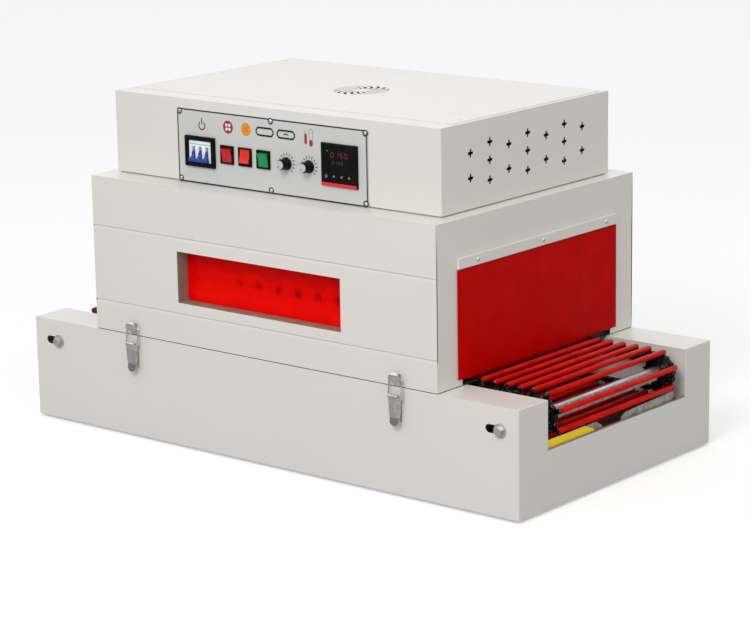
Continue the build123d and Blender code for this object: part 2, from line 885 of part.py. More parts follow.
def latch_base(x):
    """The riveted base with two ears and the lever's pin."""
    s = latch_sheet
    out = latch_pivot_out
    r = latch_ear_radius
    base = slab((x - ear_outer, front - s, pivot_z - latch_base_length), (x + ear_outer, front, pivot_z - 1.5))
    for low in (-ear_outer, ear_inner):
        ear = from_pivot([
            (s - 0.2 - out, -16), (s - 0.2 - out, -6.5), (0, -1.5), (0, -r), (-2, -5),
        ], x + low, x + low + s)
        base += ear + rod_along_x(r, x + low, x + low + s, front - out, pivot_z)
    return base + rod_along_x(latch_pin_radius, x - flange_outer, x + flange_outer, front - out, pivot_z)


def lever_outline(x):
    """The lever seen from the front: slightly tapered, with a rounded tip."""
    wide = lever_half_width
    narrow = wide - lever_taper
    bend = pivot_z - lever_crease
    shoulder = bend - 6
    top = pivot_z + 6
    edges = [
        Line((x - wide, top), (x + wide, top)), Line((x + wide, top), (x + wide, pivot_z - 4)),
        Line((x + wide, pivot_z - 4), (x + narrow, bend)), Line((x + narrow, bend), (x + narrow, shoulder)),
        ThreePointArc((x + narrow, shoulder), (x, pivot_z - lever_length), (x - narrow, shoulder)),
        Line((x - narrow, shoulder), (x - narrow, bend)), Line((x - narrow, bend), (x - wide, pivot_z - 4)),
        Line((x - wide, pivot_z - 4), (x - wide, top)),
    ]
    return seen_from_front(edges, 30)


def latch_lever(x):
    """The lever: a web with two flanges, a rolled top and a joggled lip to lift it by."""
    s = latch_sheet
    near = web_offset
    end = -lever_length
    bend = -lever_crease
    web = from_pivot([
        (near + s, 1), (near + s - 1.8, bend + 0.6), (near + s - 2.8, bend - 0.4), (near + s - 0.3, end),
        (near - 0.3, end), (near - 2.8, bend - 0.8), (near - 1.8, bend + 0.1), (near, 1),
    ], x - flange_outer, x + flange_outer)
    y = front - latch_pivot_out
    web += rod_along_x(lever_roll_radius, x - flange_outer, x + flange_outer, y - near - 1.7, pivot_z + 2)
    for low in (-flange_outer, flange_inner):
        web += from_pivot([
            (near + 0.5, 2), (0.5, 3.4), (-2.8, 2.2), (-3.4, -6), (-3.6, -24), (-1.5, bend + 1.5),
            (near - 1.4, bend + 0.6),
        ], x + low, x + low + s)
    web -= rod_along_x(latch_pin_radius + latch_pin_gap, x - 20, x + 20, y, pivot_z)
    web -= rod_along_x(wire_radius + latch_pin_gap, x - 20, x + 20, y, pivot_z - latch_throw)
    return web & lever_outline(x)


def latch_bail(x):
    """The wire bail, from its two ends in the lever up to its bar in the hook."""
    foot_y = front - latch_pivot_out
    bar_y = front - hook_out
    low = pivot_z - latch_throw
    high = hook_z - latch_throw
    half = bail_half_width
    end = flange_inner - 0.1
    path = FilletPolyline(
        (x - end, foot_y, low), (x - half, foot_y, low), (x - half, bar_y, high),
        (x + half, bar_y, high), (x + half, foot_y, low), (x + end, foot_y, low), radius=bail_corner)
    section = Plane(origin=(x - end, foot_y, low), z_dir=(-1, 0, 0)) * Circle(wire_radius)
    return sweep(section, path=path)


def hook_arc(radius, top_out, top_up):
    """Half of the hook's section: a round bottom and a lip that leans in, as (y, z) edges."""
    y = front - hook_out
    lip = (y - top_out, hook_z + top_up)
    middle = (y - radius + 0.08 * radius, hook_z + top_up / 2)
    return [
        ThreePointArc((y + radius, hook_z), (y, hook_z - radius), (y - radius, hook_z)),
        ThreePointArc((y - radius, hook_z), middle, lip),
    ]


def latch_catch(x):
    """The catch: a plate on the hood with a domed hook, open at its back and top."""
    s = latch_sheet
    half = hook_half_width
    y = front - hook_out
    outer = hook_arc(hook_outer, 3.6, hook_dome_height)
    inner = hook_arc(hook_inner, 2.9, hook_dome_height - 1)
    edges = outer + inner + [Line(outer[1] @ 1, inner[1] @ 1), Line(inner[0] @ 0, outer[0] @ 0)]
    plane = Plane.YZ.offset(x - half)
    hook = extrude(make_face([plane * edge for edge in edges]), 2 * half, dir=(1, 0, 0))
    hook -= slab((x - half - 1, front - s / 2, hook_z - 20), (x + half + 1, front + 20, hook_z + 1))
    top = hook_z + hook_dome_height
    arch = seen_from_front([
        Line((x - half, seam + 1), (x + half, seam + 1)), Line((x + half, seam + 1), (x + half, hook_z)),
        ThreePointArc((x + half, hook_z), (x, top + 0.5), (x - half, hook_z)),
        Line((x - half, hook_z), (x - half, seam + 1)),
    ], 30)
    tab = hook_tab_half_width
    plate = slab((x - tab, front - s, seam + 2), (x + tab, front, hook_z + 5))
    return (hook + plate) & arch


save("latch_bases", [side for x in latch_x for side in on_both_sides(latch_base(x))])
save("latch_catches", [side for x in latch_x for side in on_both_sides(latch_catch(x))])
save("left_latch_lever", latch_lever(latch_x[0]))
save("right_latch_lever", latch_lever(latch_x[1]))
save("left_latch_bail", latch_bail(latch_x[0]))
save("right_latch_bail", latch_bail(latch_x[1]))
save("rear_latch_levers", [mirror(latch_lever(x), about=Plane.XZ) for x in latch_x])
save("rear_latch_bails", [mirror(latch_bail(x), about=Plane.XZ) for x in latch_x])
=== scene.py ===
import json
import math

import bpy
from mathutils import Matrix, Vector


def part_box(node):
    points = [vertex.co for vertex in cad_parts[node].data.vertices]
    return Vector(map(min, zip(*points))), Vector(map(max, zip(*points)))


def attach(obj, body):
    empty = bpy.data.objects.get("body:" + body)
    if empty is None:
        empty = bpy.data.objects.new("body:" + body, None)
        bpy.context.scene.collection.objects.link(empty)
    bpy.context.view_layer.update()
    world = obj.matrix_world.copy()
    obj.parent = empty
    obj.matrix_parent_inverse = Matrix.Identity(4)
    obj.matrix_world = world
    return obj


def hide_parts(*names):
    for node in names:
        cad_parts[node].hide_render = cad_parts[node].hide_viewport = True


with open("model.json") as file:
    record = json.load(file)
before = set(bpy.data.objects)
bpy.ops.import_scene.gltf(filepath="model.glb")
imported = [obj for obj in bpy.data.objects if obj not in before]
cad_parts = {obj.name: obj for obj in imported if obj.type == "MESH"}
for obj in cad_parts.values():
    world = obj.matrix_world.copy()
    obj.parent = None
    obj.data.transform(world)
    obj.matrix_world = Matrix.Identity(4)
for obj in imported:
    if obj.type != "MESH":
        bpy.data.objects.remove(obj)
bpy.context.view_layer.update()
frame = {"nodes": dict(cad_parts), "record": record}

# The studio: a white floor and sky, one soft lamp in front of the operator's side, and the
# camera where the photograph was taken from. Camera and transmission rays see white, and
# glossy rays see a dark horizon in front under a bright ceiling, which draws the plated parts.
floor_grey = (0.50, 0.50, 0.50)
floor_glow = 0.42
floor_pale = 0.62
sky_level = 0.78
ceiling_level = 1.3
horizon_top = -0.02
ceiling_edge = 0.40


def added(primitive, **settings):
    """A new primitive, selected alone."""
    bpy.ops.object.select_all(action="DESELECT")
    getattr(bpy.ops.mesh, primitive)(**settings)
    return bpy.context.object


def seen_directly(tree):
    """1 for the rays that look at the studio itself, 0 for the light it gives."""
    rays = tree.nodes.new("ShaderNodeLightPath")
    camera_or_through = tree.nodes.new("ShaderNodeMath")
    camera_or_through.operation = "MAXIMUM"
    tree.links.new(rays.outputs["Is Camera Ray"], camera_or_through.inputs[0])
    tree.links.new(rays.outputs["Is Transmission Ray"], camera_or_through.inputs[1])
    return camera_or_through.outputs[0]


def mixed(tree, share, first, second):
    """A Mix Shader of two shaders."""
    mix = tree.nodes.new("ShaderNodeMixShader")
    tree.links.new(share, mix.inputs[0])
    tree.links.new(first, mix.inputs[1])
    tree.links.new(second, mix.inputs[2])
    return mix.outputs[0]


def plain_shader(tree, kind, colour, strength=None):
    """A one-colour shader node."""
    shader = tree.nodes.new("ShaderNode" + kind)
    shader.inputs["Color"].default_value = (*colour, 1)
    if strength is not None:
        shader.inputs["Strength"].default_value = strength
    return shader


floor = added("primitive_plane_add", size=60.0, location=(0, 0, 0))
floor.name = "studio_floor"
floor_material = bpy.data.materials.new("studio_white")
floor_material.use_nodes = True
tree = floor_material.node_tree
tree.nodes.remove(tree.nodes["Principled BSDF"])
lit = plain_shader(tree, "BsdfDiffuse", floor_grey)
pale = plain_shader(tree, "BsdfDiffuse", (floor_pale, floor_pale, floor_pale))
glow = plain_shader(tree, "Emission", (1.0, 1.0, 1.0), floor_glow)
pale_and_glow = tree.nodes.new("ShaderNodeAddShader")
tree.links.new(pale.outputs[0], pale_and_glow.inputs[0])
tree.links.new(glow.outputs[0], pale_and_glow.inputs[1])
floor_look = mixed(tree, seen_directly(tree), lit.outputs[0], pale_and_glow.outputs[0])
tree.links.new(floor_look, tree.nodes["Material Output"].inputs["Surface"])
floor.data.materials.append(floor_material)

world = bpy.data.worlds.new("studio_sky")
bpy.context.scene.world = world
world.use_nodes = True
tree = world.node_tree
tree.nodes.remove(tree.nodes["Background"])
sky = plain_shader(tree, "Background", (1.0, 1.0, 1.0), sky_level)
white = plain_shader(tree, "Background", (1.0, 1.0, 1.0), 1.0)
horizon = plain_shader(tree, "Background", (0.08, 0.08, 0.08), 1.0)
ceiling = plain_shader(tree, "Background", (1.0, 1.0, 1.0), ceiling_level)
direction = tree.nodes.new("ShaderNodeTexCoord")
parts_of_it = tree.nodes.new("ShaderNodeSeparateXYZ")
tree.links.new(direction.outputs["Generated"], parts_of_it.inputs[0])
height = tree.nodes.new("ShaderNodeMapRange")
tree.links.new(parts_of_it.outputs["Z"], height.inputs["Value"])
height.inputs["From Min"].default_value = horizon_top
height.inputs["From Max"].default_value = ceiling_edge
behind = tree.nodes.new("ShaderNodeMapRange")
tree.links.new(parts_of_it.outputs["Y"], behind.inputs["Value"])
behind.inputs["From Min"].default_value = -0.15
behind.inputs["From Max"].default_value = 0.15
above_or_behind = tree.nodes.new("ShaderNodeMath")
above_or_behind.operation = "MAXIMUM"
tree.links.new(height.outputs[0], above_or_behind.inputs[0])
tree.links.new(behind.outputs[0], above_or_behind.inputs[1])
reflected = mixed(tree, above_or_behind.outputs[0], horizon.outputs[0], ceiling.outputs[0])
gloss = tree.nodes.new("ShaderNodeLightPath").outputs["Is Glossy Ray"]
light_or_gloss = mixed(tree, gloss, sky.outputs[0], reflected)
sky_look = mixed(tree, seen_directly(tree), light_or_gloss, white.outputs[0])
tree.links.new(sky_look, tree.nodes["World Output"].inputs["Surface"])

lamp_place = (1.05, -3.3, 2.9)
bpy.ops.object.light_add(type="AREA", location=lamp_place)
lamp = bpy.context.object
lamp.name = "key_lamp"
lamp.data.size = 1.6
lamp.data.energy = 78.0
lamp.rotation_euler = (Vector((0.0, 0.0, 0.2)) - Vector(lamp_place)).to_track_quat("-Z", "Y").to_euler()

bpy.ops.object.camera_add(
    location=(2.70864, -3.25939, 1.21776),
    rotation=[math.radians(angle) for angle in (76.4305, 0.9384, 39.2759)])
camera = bpy.context.object
camera.data.lens = 128.843
camera.data.sensor_width = 36.0
bpy.context.scene.camera = camera
bpy.context.scene.view_settings.view_transform = "Standard"


# Base cabinet: two folded side channels, two notched end plates and a floor pan of 2 mm
# sheet, welded, ground and powder coated in a semi-gloss warm white.

class Shade:
    """One socket of a material's nodes; arithmetic on it adds Math nodes."""

    def __init__(self, tree, socket):
        self.tree = tree
        self.socket = socket

    def node(self, kind, settings=None, inputs=None, output=0):
        """Add a node, make its settings, fill or link its sockets, and give one output."""
        node = self.tree.nodes.new("ShaderNode" + kind)
        for name, value in (settings or {}).items():
            if name == "stops":
                elements = node.color_ramp.elements
                for index, (position, colour) in enumerate(value):
                    stop = elements[index] if index < 2 else elements.new(position)
                    stop.position = position
                    stop.color = colour
            else:
                setattr(node, name, value)
        for name, value in (inputs or {}).items():
            if isinstance(value, Shade):
                self.tree.links.new(value.socket, node.inputs[name])
            else:
                node.inputs[name].default_value = value
        return Shade(self.tree, node.outputs[output])

    def math(self, operation, first, second=0.0):
        return self.node("Math", {"operation": operation}, {0: first, 1: second})

    def __add__(self, other):
        return self.math("ADD", self, other)

    __radd__ = __add__

    def __sub__(self, other):
        return self.math("SUBTRACT", self, other)

    def __rsub__(self, other):
        return self.math("SUBTRACT", other, self)

    def __mul__(self, other):
        return self.math("MULTIPLY", self, other)

    __rmul__ = __mul__

    def __truediv__(self, other):
        return self.math("DIVIDE", self, other)

    def noise(self, scale, detail=2.0, roughness=0.5):
        """A grey noise over this place, between about 0.3 and 0.7."""
        return self.node(
            "TexNoise", {}, {"Vector": self, "Scale": scale, "Detail": detail, "Roughness": roughness})

    def spread(self, low, high):
        """This value drawn out from low..high to 0..1 and kept within it."""
        return self.node("MapRange", {}, {"Value": self, "From Min": low, "From Max": high})

    def tint(self, first, second):
        """A colour that goes from first to second as this value goes from 0 to 1."""
        return self.node(
            "Mix", {"data_type": "RGBA"}, {0: self, 6: (*first, 1), 7: (*second, 1)}, output=2)


class Finish:
    """A material, its shader and the Object coordinates that its patterns read."""

    def __init__(self, name, **sockets):
        self.material = bpy.data.materials.new(name)
        self.material.use_nodes = True
        self.tree = self.material.node_tree
        self.surface = self.tree.nodes["Principled BSDF"]
        coordinates = self.tree.nodes.new("ShaderNodeTexCoord")
        self.place = Shade(self.tree, coordinates.outputs["Object"])
        self.set(**sockets)

    def set(self, **sockets):
        """Fill or link the shader's sockets, named with _ for a space."""
        for name, value in sockets.items():
            target = self.surface.inputs[name.replace("_", " ")]
            if isinstance(value, Shade):
                self.tree.links.new(value.socket, target)
            else:
                target.default_value = (*value, 1) if isinstance(value, tuple) else value

    def relief(self, height, depth, strength=1.0):
        """Let a height from 0 to 1 stand depth metres proud."""
        self.set(Normal=height.node("Bump", {}, {"Height": height, "Distance": depth, "Strength": strength}))

    def axis(self, letter):
        """One coordinate in metres."""
        return self.place.node("SeparateXYZ", {}, {0: self.place}, output="XYZ".index(letter))


def powder_coat(name, colour, shade, roughness=0.36):
    """Baked powder coat: faint clouds of tone and a fine orange peel."""
    coat = Finish(name)
    clouds = coat.place.noise(2.2, 3.0)
    coat.set(
        Base_Color=clouds.spread(0.35, 0.65).tint(colour, shade),
        Roughness=coat.place.noise(30.0, 2.0) * 0.10 + (roughness - 0.05))
    coat.relief(coat.place.noise(420.0, 1.0), 0.00012, 0.5)
    return coat.material


def dressed(piece, material):
    """Give a piece one material all over."""
    piece.data.materials.clear()
    piece.data.materials.append(material)
    for polygon in piece.data.polygons:
        polygon.material_index = 0


def body_of(node):
    """The CAD body that a node belongs to."""
    return next(name for name, members in frame["record"]["behaviour"]["bodies"].items() if node in members)


def shaped_from(node, name, edge, material, segments=2, smooth=40.0):
    """A copy of a packed sheet piece with its cut edges and folds rounded."""
    bpy.ops.object.select_all(action="DESELECT")
    piece = bpy.data.objects.new(name, frame["nodes"][node].data.copy())
    bpy.context.scene.collection.objects.link(piece)
    bpy.context.view_layer.objects.active = piece
    piece.select_set(True)
    bpy.ops.object.mode_set(mode="EDIT")
    bpy.ops.mesh.select_all(action="SELECT")
    bpy.ops.mesh.remove_doubles(threshold=1e-6)
    bpy.ops.mesh.dissolve_limited(angle_limit=math.radians(0.5))
    bpy.ops.object.mode_set(mode="OBJECT")
    round_off = piece.modifiers.new("round_off", "BEVEL")
    round_off.width = edge
    round_off.segments = segments
    round_off.limit_method = "ANGLE"
    round_off.angle_limit = math.radians(38)
    round_off.harden_normals = False
    bpy.ops.object.modifier_apply(modifier="round_off")
    bpy.ops.object.shade_smooth_by_angle(angle=math.radians(smooth))
    flat_faces = piece.modifiers.new("flat_faces", "WEIGHTED_NORMAL")
    flat_faces.mode = "FACE_AREA"
    flat_faces.weight = 100
    flat_faces.keep_sharp = True
    bpy.ops.object.modifier_apply(modifier="flat_faces")
    dressed(piece, material)
    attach(piece, body_of(node))
    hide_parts(node)
    return piece


cream_paint = powder_coat("cream_paint", (0.705, 0.688, 0.640), (0.690, 0.672, 0.622))
for sheet in ("front_side_channel", "rear_side_channel", "left_end_plate", "right_end_plate"):
    shaped_from(sheet, sheet + "_folded", 0.0007, cream_paint)

galvanised = Finish("galvanised_sheet", Metallic=0.85)
spangle = galvanised.place.node("TexVoronoi", {}, {"Vector": galvanised.place, "Scale": 130.0}, output=1)
spangle = spangle.node("RGBToBW", {}, {0: spangle})
galvanised.set(
    Base_Color=spangle.spread(0.2, 0.8).tint((0.40, 0.41, 0.42), (0.58, 0.59, 0.60)),
    Roughness=galvanised.place.noise(60.0, 3.0) * 0.3 + 0.28)
shaped_from("floor_pan", "floor_pan_sheet", 0.0005, galvanised.material)

# Feet: six low black rubber pads under the pan, moulded with a rounded rim.
rubber = Finish("foot_rubber", Roughness=0.75)
rubber.set(Base_Color=rubber.place.noise(90.0).tint((0.02, 0.02, 0.02), (0.05, 0.05, 0.05)))
shaped_from("feet", "rubber_feet", 0.0008, rubber.material)


# Shafts: turned bright steel, held by an M8 bolt and washer at each end, in a slot that
# lets the chain be tightened.
def turned_steel(name, bright, dark, roughness):
    """Bright turned steel with fine rings round Y."""
    steel = Finish(name, Metallic=1.0)
    rings = steel.axis("Y").node(
        "TexNoise", {"noise_dimensions": "1D"}, {"W": steel.axis("Y"), "Scale": 900.0, "Detail": 2.0})
    stains = steel.place.noise(14.0, 4.0)
    steel.set(
        Base_Color=stains.spread(0.35, 0.65).tint(bright, dark),
        Roughness=stains * 0.25 + rings * 0.1 + roughness)
    return steel.material


bright_steel = turned_steel("bright_steel", (0.62, 0.62, 0.63), (0.42, 0.41, 0.40), 0.12)
shaped_from("conveyor_shafts", "turned_shafts", 0.0008, bright_steel)
zinc = turned_steel("zinc_plate", (0.66, 0.66, 0.65), (0.50, 0.50, 0.48), 0.22)


def apply_place():
    """Put the active piece's place and turn into its mesh."""
    bpy.ops.object.transform_apply(location=True, rotation=True, scale=True)


def joined(pieces, name):
    """One piece made of several."""
    bpy.ops.object.select_all(action="DESELECT")
    for piece in pieces:
        piece.select_set(True)
    bpy.context.view_layer.objects.active = pieces[0]
    bpy.ops.object.join()
    pieces[0].name = name
    return pieces[0]


def bevelled(piece, width, segments=2, angle=30.0):
    """Round a piece's edges with an applied Bevel."""
    bpy.context.view_layer.objects.active = piece
    round_off = piece.modifiers.new("round_off", "BEVEL")
    round_off.width = width
    round_off.segments = segments
    round_off.limit_method = "ANGLE"
    round_off.angle_limit = math.radians(angle)
    bpy.ops.object.modifier_apply(modifier="round_off")
    bpy.ops.object.shade_smooth_by_angle(angle=math.radians(40))


def chamfered_bolt(width, height, washer_radius, washer_height):
    """A hexagon head with a turned chamfer on a flat washer, standing up from z = 0."""
    bpy.ops.object.select_all(action="DESELECT")
    bpy.ops.mesh.primitive_cylinder_add(
        vertices=32, radius=washer_radius, depth=washer_height, location=(0, 0, washer_height / 2))
    washer = bpy.context.object
    apply_place()
    bevelled(washer, washer_height * 0.3, 2)
    bpy.ops.object.select_all(action="DESELECT")
    bpy.ops.mesh.primitive_cylinder_add(
        vertices=6, radius=width / math.sqrt(3), depth=height, location=(0, 0, washer_height + height / 2))
    head = bpy.context.object
    apply_place()
    bpy.ops.object.select_all(action="DESELECT")
    bpy.ops.mesh.primitive_cone_add(
        vertices=48, radius1=width * 0.5 + 2.2 * height, radius2=width * 0.47, depth=height * 1.3,
        location=(0, 0, washer_height + height * 0.35))
    turning = bpy.context.object
    apply_place()
    cut = head.modifiers.new("cut", "BOOLEAN")
    cut.operation = "INTERSECT"
    cut.object = turning
    cut.solver = "EXACT"
    bpy.context.view_layer.objects.active = head
    bpy.ops.object.modifier_apply(modifier="cut")
    bpy.data.objects.remove(turning)
    bevelled(head, height * 0.05, 2, 25.0)
    return joined([head, washer], "bolt")


def placed_copies(piece, matrices, name):
    """Copies of a piece, each with its own mesh, joined as one; the first one is used up."""
    copies = []
    for matrix in matrices:
        copy = bpy.data.objects.new(name, piece.data.copy())
        copy.data.transform(matrix)
        bpy.context.scene.collection.objects.link(copy)
        copies.append(copy)
    bpy.data.objects.remove(piece)
    return joined(copies, name)


base_low, base_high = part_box("front_side_channel")
front_face = base_low.y
rear_face = -front_face
shaft_low, shaft_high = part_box("conveyor_shafts")
shaft_radius = (shaft_high.z - shaft_low.z) / 2
shaft_z = (shaft_high.z + shaft_low.z) / 2
drive_x = shaft_low.x + shaft_radius
idler_x = shaft_high.x - shaft_radius
to_front = Matrix.Rotation(math.radians(90), 4, "X")
to_rear = Matrix.Rotation(math.radians(-90), 4, "X")
turned = 0
bolt_places = []
for x in (drive_x, idler_x):
    for face, turn in ((front_face, to_front), (rear_face, to_rear)):
        turned += 17
        bolt_places.append(
            Matrix.Translation((x, face, shaft_z)) @ turn @ Matrix.Rotation(math.radians(turned), 4, "Z"))
bolts = placed_copies(chamfered_bolt(0.013, 0.006, 0.011, 0.002), bolt_places, "shaft_bolt_heads")
dressed(bolts, zinc)
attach(bolts, "cabinet")
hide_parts("shaft_bolts")


# Chains: roller chain with figure-eight plates, bushed rollers and riveted pins, black with
# oil, and at every second link an upright tab that holds a sleeve's end.
chain_pitch = 0.012
sprocket_teeth = 14
straight_pitches = round((idler_x - drive_x) / chain_pitch)
loop_pitches = 2 * straight_pitches + sprocket_teeth
pitch_radius = chain_pitch / (2 * math.sin(math.pi / sprocket_teeth))
roller_lift = 0.0093
first_sleeve = -(90.0 - 19.2) / (360.0 / sprocket_teeth)
first_pin = first_sleeve - 0.5
chain_low, chain_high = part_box("front_chain")
chain_inner = -chain_high.y
chain_outer = -chain_low.y
chain_middle = (chain_inner + chain_outer) / 2


def loop_point(pitches, lift):
    """A place on the chain's loop as x, z and the outward direction's angle."""
    along = pitches % loop_pitches
    half_wrap = sprocket_teeth / 2
    step = 2 * math.pi / sprocket_teeth
    if along < straight_pitches:
        angle, centre = math.pi / 2, -along * chain_pitch
    elif along < straight_pitches + half_wrap:
        angle, centre = math.pi / 2 + (along - straight_pitches) * step, -straight_pitches * chain_pitch
    elif along < loop_pitches - half_wrap:
        angle, centre = -math.pi / 2, (along - loop_pitches + half_wrap) * chain_pitch
    else:
        angle, centre = -math.pi / 2 + (along - loop_pitches + half_wrap) * step, 0.0
    radius = pitch_radius + lift
    return idler_x + centre + radius * math.cos(angle), shaft_z + radius * math.sin(angle), angle


def link_matrix(first, second):
    """The place of a link between two pins: its length on X, its outer edge up."""
    x1, z1, _ = loop_point(first, 0.0)
    x2, z2, _ = loop_point(second, 0.0)
    turn = math.atan2(z1 - z2, x1 - x2)
    return Matrix.Translation(((x1 + x2) / 2, 0, (z1 + z2) / 2)) @ Matrix.Rotation(-turn, 4, "Y")


def link_plate(thickness):
    """A figure-eight plate of one pitch, in the XZ plane, with its faces at y = 0 and thickness."""
    end_radius = 0.0044
    waist = 0.0032
    corners = []
    for side in (1, -1):
        for turn in range(-75, 76, 25):
            angle = math.radians(turn if side == 1 else 180 + turn)
            corners.append(
                (side * chain_pitch / 2 + end_radius * math.cos(angle), end_radius * math.sin(angle)))
        corners.append((0.0, waist if side == 1 else -waist))
    bpy.ops.object.select_all(action="DESELECT")
    bpy.ops.mesh.primitive_circle_add(vertices=len(corners), radius=0.004, fill_type="NGON")
    plate = bpy.context.object
    for vertex, (x, z) in zip(plate.data.vertices, corners):
        vertex.co = (x, 0.0, z)
    bpy.ops.object.mode_set(mode="EDIT")
    bpy.ops.mesh.select_all(action="SELECT")
    bpy.ops.mesh.extrude_region_move(TRANSFORM_OT_translate={"value": (0, thickness, 0)})
    bpy.ops.mesh.select_all(action="SELECT")
    bpy.ops.mesh.normals_make_consistent(inside=False)
    bpy.ops.object.mode_set(mode="OBJECT")
    return plate


def chain_link(outer):
    """One link: two plates, and on an outer link its pins with riveted heads and rollers."""
    thickness = 0.0012
    inset = 0.0 if outer else thickness + 0.0001
    parts = []
    for low in (chain_inner + inset, chain_outer - inset - thickness):
        plate = link_plate(thickness)
        plate.data.transform(Matrix.Translation((0, low, 0)))
        parts.append(plate)
    if outer:
        for x in (-chain_pitch / 2, chain_pitch / 2):
            for radius, reach in ((0.0016, 0.0007), (0.0034, -0.0027)):
                bpy.ops.object.select_all(action="DESELECT")
                bpy.ops.mesh.primitive_cylinder_add(
                    vertices=12, radius=radius, depth=chain_outer - chain_inner + 2 * reach,
                    location=(x, chain_middle, 0), rotation=(math.radians(90), 0, 0))
                rod = bpy.context.object
                apply_place()
                bevelled(rod, 0.0004, 1)
                parts.append(rod)
    return joined(parts, "link")


def chain_tab():
    """The upright tab: a rounded ear bent up from the plate, with the sleeve's rivet in it."""
    tab_height = 0.0108
    tab_width = 0.008
    bpy.ops.object.select_all(action="DESELECT")
    bpy.ops.mesh.primitive_cube_add(size=1.0, location=(0, chain_inner + 0.0013, -0.0022))
    ear = bpy.context.object
    ear.scale = (tab_width, 0.0024, tab_height)
    apply_place()
    bpy.ops.object.mode_set(mode="EDIT")
    bpy.ops.mesh.select_mode(type="EDGE")
    bpy.ops.mesh.select_all(action="DESELECT")
    bpy.ops.object.mode_set(mode="OBJECT")
    for edge in ear.data.edges:
        ends = [ear.data.vertices[index].co for index in edge.vertices]
        edge.select = all(end.z > 0.002 for end in ends) and abs(ends[0].x - ends[1].x) < 1e-5
    bpy.ops.object.mode_set(mode="EDIT")
    bpy.ops.mesh.bevel(offset=0.0026, segments=3)
    bpy.ops.object.mode_set(mode="OBJECT")
    bevelled(ear, 0.0003, 1)
    bpy.ops.object.select_all(action="DESELECT")
    bpy.ops.mesh.primitive_uv_sphere_add(
        segments=12, ring_count=6, radius=0.0021, location=(0, chain_inner + 0.0025, 0))
    rivet = bpy.context.object
    rivet.scale = (1, 0.5, 1)
    apply_place()
    bpy.ops.object.shade_smooth()
    return joined([ear, rivet], "tab")


link_places = {
    outer: [
        link_matrix(first_pin + number, first_pin + number + 1)
        for number in range(0 if outer else 1, loop_pitches, 2)
    ]
    for outer in (True, False)
}
sleeve_places = [loop_point(first_sleeve + 2 * number, roller_lift) for number in range(loop_pitches // 2)]
tab_places = [
    Matrix.Translation((x, 0, z)) @ Matrix.Rotation(math.pi / 2 - angle, 4, "Y")
    for x, z, angle in sleeve_places
]
mirror_y = Matrix.Scale(-1, 4, (0, 1, 0))
oiled = Finish("oiled_chain", Metallic=0.9)
worn = oiled.place.noise(260.0, 3.0).spread(0.52, 0.72)
oiled.set(
    Base_Color=worn.tint((0.018, 0.016, 0.016), (0.30, 0.29, 0.28)),
    Roughness=oiled.place.noise(40.0, 2.0) * 0.3 + 0.18)
for side in ("front", "rear"):
    pieces = [
        placed_copies(chain_link(outer), link_places[outer], side + "_links") for outer in (True, False)
    ]
    pieces.append(placed_copies(chain_tab(), tab_places, side + "_tabs"))
    chain = joined(pieces, side + "_roller_chain")
    if side == "front":
        chain.data.transform(mirror_y)
        chain.data.flip_normals()
    dressed(chain, oiled.material)
    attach(chain, "cabinet")
    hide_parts(side + "_chain")

# Sprockets: flat-cut toothed wheels pressed on the shafts, oiled like the chain.
shaped_from("sprockets", "toothed_sprockets", 0.0004, oiled.material, segments=1)


# Conveyor rollers: steel rods in tight red silicone sleeves, open at the ends.
def silicone(name, colour, shade, roughness):
    """Smooth red silicone with faint handling marks."""
    skin = Finish(name, IOR=1.43, Specular_IOR_Level=0.04)
    marks = skin.place.noise(26.0, 3.0)
    skin.set(
        Base_Color=marks.spread(0.35, 0.68).tint(colour, shade),
        Roughness=marks * 0.14 + (roughness - 0.07))
    skin.relief(skin.place.noise(240.0, 2.0), 0.0002, 0.5)
    return skin


sleeve_red = silicone("red_silicone_sleeve", (0.66, 0.010, 0.001), (0.50, 0.004, 0.001), 0.30)
_, roller_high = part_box("conveyor_rollers")
roller_radius = 0.0043
half_roller = roller_high.y
sleeve = added(
    "primitive_cylinder_add", vertices=20, radius=roller_radius, depth=2 * half_roller,
    rotation=(math.radians(90), 0, 0), end_fill_type="NGON")
apply_place()
bpy.ops.object.mode_set(mode="EDIT")
bpy.ops.mesh.select_mode(type="FACE")
bpy.ops.mesh.select_all(action="DESELECT")
bpy.ops.object.mode_set(mode="OBJECT")
for polygon in sleeve.data.polygons:
    polygon.select = abs(polygon.normal.y) > 0.9
bpy.ops.object.mode_set(mode="EDIT")
bpy.ops.mesh.inset(thickness=0.0012, use_individual=True)
bpy.ops.mesh.inset(thickness=0.0001, depth=-0.0005, use_individual=True)
bpy.ops.object.mode_set(mode="OBJECT")
bevelled(sleeve, 0.0005, 2, 50.0)
sleeves = placed_copies(
    sleeve, [Matrix.Translation((x, 0, z)) for x, z, _ in sleeve_places], "sleeved_rollers")
dressed(sleeves, sleeve_red.material)
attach(sleeves, "cabinet")
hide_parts("conveyor_rollers")

# Rails and tray: steel angles under the top runs and a shallow tray under the bottom run, near
# black with chain oil and with painted shade for the dark under the rollers. The tray's lips end just under
# the notches.
oil_and_painted_shade_finish = Finish("oily_painted_shade_sheet", Metallic=0.5)
oil_and_painted_shade = oil_and_painted_shade_finish.place.noise(34.0, 4.0)
oil_and_painted_shade_finish.set(
    # Base colour near black: chain oil, and painted shade where the rollers' shadow falls inside the cabinet.
    Base_Color=oil_and_painted_shade.spread(0.3, 0.7).tint((0.020, 0.017, 0.015), (0.055, 0.045, 0.038)),
    Roughness=oil_and_painted_shade * 0.3 + 0.30)
shaped_from("chain_rails", "rail_angles", 0.0004, oil_and_painted_shade_finish.material)
tray = shaped_from("chain_tray", "drip_tray", 0.0004, oil_and_painted_shade_finish.material)
tray_low, tray_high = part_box("chain_tray")
end_low, end_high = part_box("right_end_plate")
notch_depth = 0.091
notch_z = end_low.z + notch_depth
lip_below_notch = 0.001
for vertex in tray.data.vertices:
    if vertex.co.z > tray_high.z - 0.004:
        vertex.co.z -= tray_high.z - notch_z + lip_below_notch


